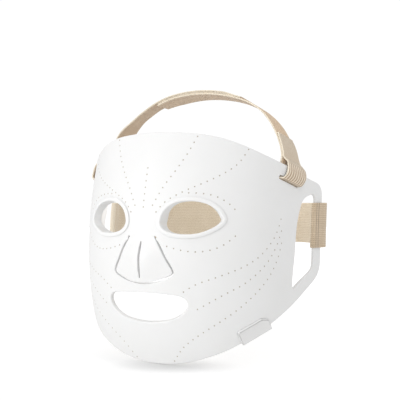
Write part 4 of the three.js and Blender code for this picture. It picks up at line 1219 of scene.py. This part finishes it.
# what lights the object from below is the plain floor; what is seen is paler, and fades to white with distance
_pale = _nt.nodes.new("ShaderNodeBsdfPrincipled")
_pale.inputs["Roughness"].default_value = 0.8
_pale.inputs["Specular IOR Level"].default_value = 0.0
_pale.inputs["Emission Color"].default_value = (1, 1, 1, 1)
_n = node(_nt, "ShaderNodeTexNoise", Scale=14.0, Detail=2.0)
link(_nt, coords(_nt), _n.inputs["Vector"])
link(_nt, ramp(_nt, _n.outputs["Fac"], [(0.3, (0.36, 0.36, 0.36)), (0.7, (0.35, 0.35, 0.35))]), _pale.inputs["Base Color"])
_len = _nt.nodes.new("ShaderNodeVectorMath")
_len.operation = "LENGTH"
link(_nt, coords(_nt), _len.inputs[0])
_far = node(_nt, "ShaderNodeMapRange")
_far.inputs["From Min"].default_value, _far.inputs["From Max"].default_value = 0.22, 0.9
_far.inputs["To Min"].default_value, _far.inputs["To Max"].default_value = 0.74, 1.05
link(_nt, _len.outputs["Value"], _far.inputs["Value"])
# a soft contact shadow right under the chin
_ao = _nt.nodes.new("ShaderNodeAmbientOcclusion")
_ao.samples = 12
_ao.inputs["Distance"].default_value = 0.024
_near = node(_nt, "ShaderNodeMapRange")
_near.inputs["To Min"].default_value, _near.inputs["To Max"].default_value = 0.7, 1.0
link(_nt, _ao.outputs["AO"], _near.inputs["Value"])
_both = node(_nt, "ShaderNodeMath", operation="MULTIPLY")
link(_nt, _far.outputs["Result"], _both.inputs[0])
link(_nt, _near.outputs["Result"], _both.inputs[1])
# and a wider one that fades out over a few centimetres
_off = _nt.nodes.new("ShaderNodeVectorMath")
_off.operation = "SUBTRACT"
_off.inputs[1].default_value = (0.0137, 0.0199, floor_z)
link(_nt, coords(_nt), _off.inputs[0])
_turned = _nt.nodes.new("ShaderNodeVectorRotate")
_turned.rotation_type = "Z_AXIS"
_turned.inputs["Angle"].default_value = math.radians(-27)
link(_nt, _off.outputs[0], _turned.inputs["Vector"])
_oval = _nt.nodes.new("ShaderNodeVectorMath")
_oval.operation = "MULTIPLY"
_oval.inputs[1].default_value = (1 / 0.062, 1 / 0.034, 0)
link(_nt, _turned.outputs[0], _oval.inputs[0])
_reach = _nt.nodes.new("ShaderNodeVectorMath")
_reach.operation = "LENGTH"
link(_nt, _oval.outputs[0], _reach.inputs[0])
_fade = node(_nt, "ShaderNodeMapRange", interpolation_type="SMOOTHSTEP")
_fade.inputs["To Min"].default_value, _fade.inputs["To Max"].default_value = 0.66, 1.0
link(_nt, _reach.outputs["Value"], _fade.inputs["Value"])
_all = node(_nt, "ShaderNodeMath", operation="MULTIPLY")
link(_nt, _both.outputs[0], _all.inputs[0])
link(_nt, _fade.outputs["Result"], _all.inputs[1])
link(_nt, _all.outputs[0], _pale.inputs["Emission Strength"])
_lp = _nt.nodes.new("ShaderNodeLightPath")
_mx = _nt.nodes.new("ShaderNodeMixShader")
link(_nt, _lp.outputs["Is Camera Ray"], _mx.inputs[0])
link(_nt, _b.outputs[0], _mx.inputs[1])
link(_nt, _pale.outputs[0], _mx.inputs[2])
link(_nt, _mx.outputs[0], _nt.nodes["Material Output"].inputs["Surface"])
fm.materials.append(FLOOR)

world = bpy.data.worlds.new("studio") if bpy.context.scene.world is None else bpy.context.scene.world
bpy.context.scene.world = world
world.use_nodes = True
wn = world.node_tree
wn.nodes.clear()
out = wn.nodes.new("ShaderNodeOutputWorld")
seen, lit, mixw, lp = wn.nodes.new("ShaderNodeBackground"), wn.nodes.new("ShaderNodeBackground"), wn.nodes.new("ShaderNodeMixShader"), wn.nodes.new("ShaderNodeLightPath")
seen.inputs["Color"].default_value, seen.inputs["Strength"].default_value = (1, 1, 1, 1), 1.03
lit.inputs["Color"].default_value = (1, 1, 1, 1)
# a little less of it from the wearer's far right
side_dir, side_xyz, side_min, side_mix = [wn.nodes.new("ShaderNode" + k) for k in ("TexCoord", "SeparateXYZ", "Math", "Math")]
side_min.operation, side_mix.operation = "MINIMUM", "MULTIPLY_ADD"
side_min.inputs[1].default_value = 0.0
side_mix.inputs[1].default_value, side_mix.inputs[2].default_value = 0.26, 0.895
wn.links.new(side_dir.outputs["Generated"], side_xyz.inputs[0])
wn.links.new(side_xyz.outputs["X"], side_min.inputs[0])
wn.links.new(side_min.outputs[0], side_mix.inputs[0])
wn.links.new(side_mix.outputs[0], lit.inputs["Strength"])
wn.links.new(lp.outputs["Is Camera Ray"], mixw.inputs[0])
wn.links.new(lit.outputs[0], mixw.inputs[1])
wn.links.new(seen.outputs[0], mixw.inputs[2])
wn.links.new(mixw.outputs[0], out.inputs[0])


def lamp(name, where, aim, size, power, color=(1, 1, 1)):
    l = bpy.data.lights.new(name, "AREA")
    l.shape, l.size, l.energy, l.color = "DISK", size, power, color
    o = bpy.data.objects.new(name, l)
    o.location = where
    o.rotation_euler = (Vector(aim) - Vector(where)).to_track_quat("-Z", "Y").to_euler()
    bpy.context.scene.collection.objects.link(o)
    return o


key = lamp("key", (-0.59, -1.26, 0.19), (0, 0.03, -0.01), 1.1, 9.7)
no_key = bpy.data.collections.new("floor_without_key")
no_key.objects.link(floor)
key.light_linking.receiver_collection = no_key
no_key.collection_objects[0].light_linking.link_state = "EXCLUDE"
lamp("top", (0.1, 0.1, 1.5), (0, 0.08, 0), 1.4, 0.8)
# a small lamp behind the wearer's right eye opening lights the inner side of that wing
inner = lamp("inner", (-0.03, 0.165, 0.03), (-0.1, 0.1, 0), 0.05, 0.06)
inner.visible_camera = False
only_skin = bpy.data.collections.new("shell_only")
only_skin.objects.link(front)
inner.light_linking.receiver_collection = only_skin
# and another one the inner side of the band on the wearer's left
glow = lamp("glow", (0.055, 0.1, 0.05), (0.085, 0.195, -0.005), 0.04, 0.02)
glow.visible_camera = False
only_band = bpy.data.collections.new("band_only")
only_band.objects.link(band)
glow.light_linking.receiver_collection = only_band
# and a weak one from the front the fold of the crown strap
fold_fill = lamp("fold_fill", (0.32, -0.42, 0.03), (0.097, 0.082, 0.035), 0.12, 0.5)
fold_fill.visible_camera = False
only_fold = bpy.data.collections.new("fold_only")
only_fold.objects.link(left_web)
only_fold.objects.link(tab)
fold_fill.light_linking.receiver_collection = only_fold

cam_data = bpy.data.cameras.new("camera")
cam = bpy.data.objects.new("camera", cam_data)
bpy.context.scene.collection.objects.link(cam)
az, el = math.radians(27.08), math.radians(-0.246)
cam.location = (0.294112, -0.474873, 0.011829)
fwd = Vector((-math.sin(az) * math.cos(el), math.cos(az) * math.cos(el), -math.sin(el)))
cam.rotation_mode = "QUATERNION"
cam.rotation_quaternion = fwd.to_track_quat("-Z", "Y")
cam_data.lens, cam_data.sensor_width = 63.19, 36.0
cam_data.clip_start, cam_data.clip_end = 0.01, 60
bpy.context.scene.camera = cam

bpy.context.scene.view_settings.view_transform = "Standard"
bpy.context.scene.view_settings.look = "None"
bpy.context.scene.view_settings.exposure = 0.0
bpy.context.scene.view_settings.gamma = 1.0
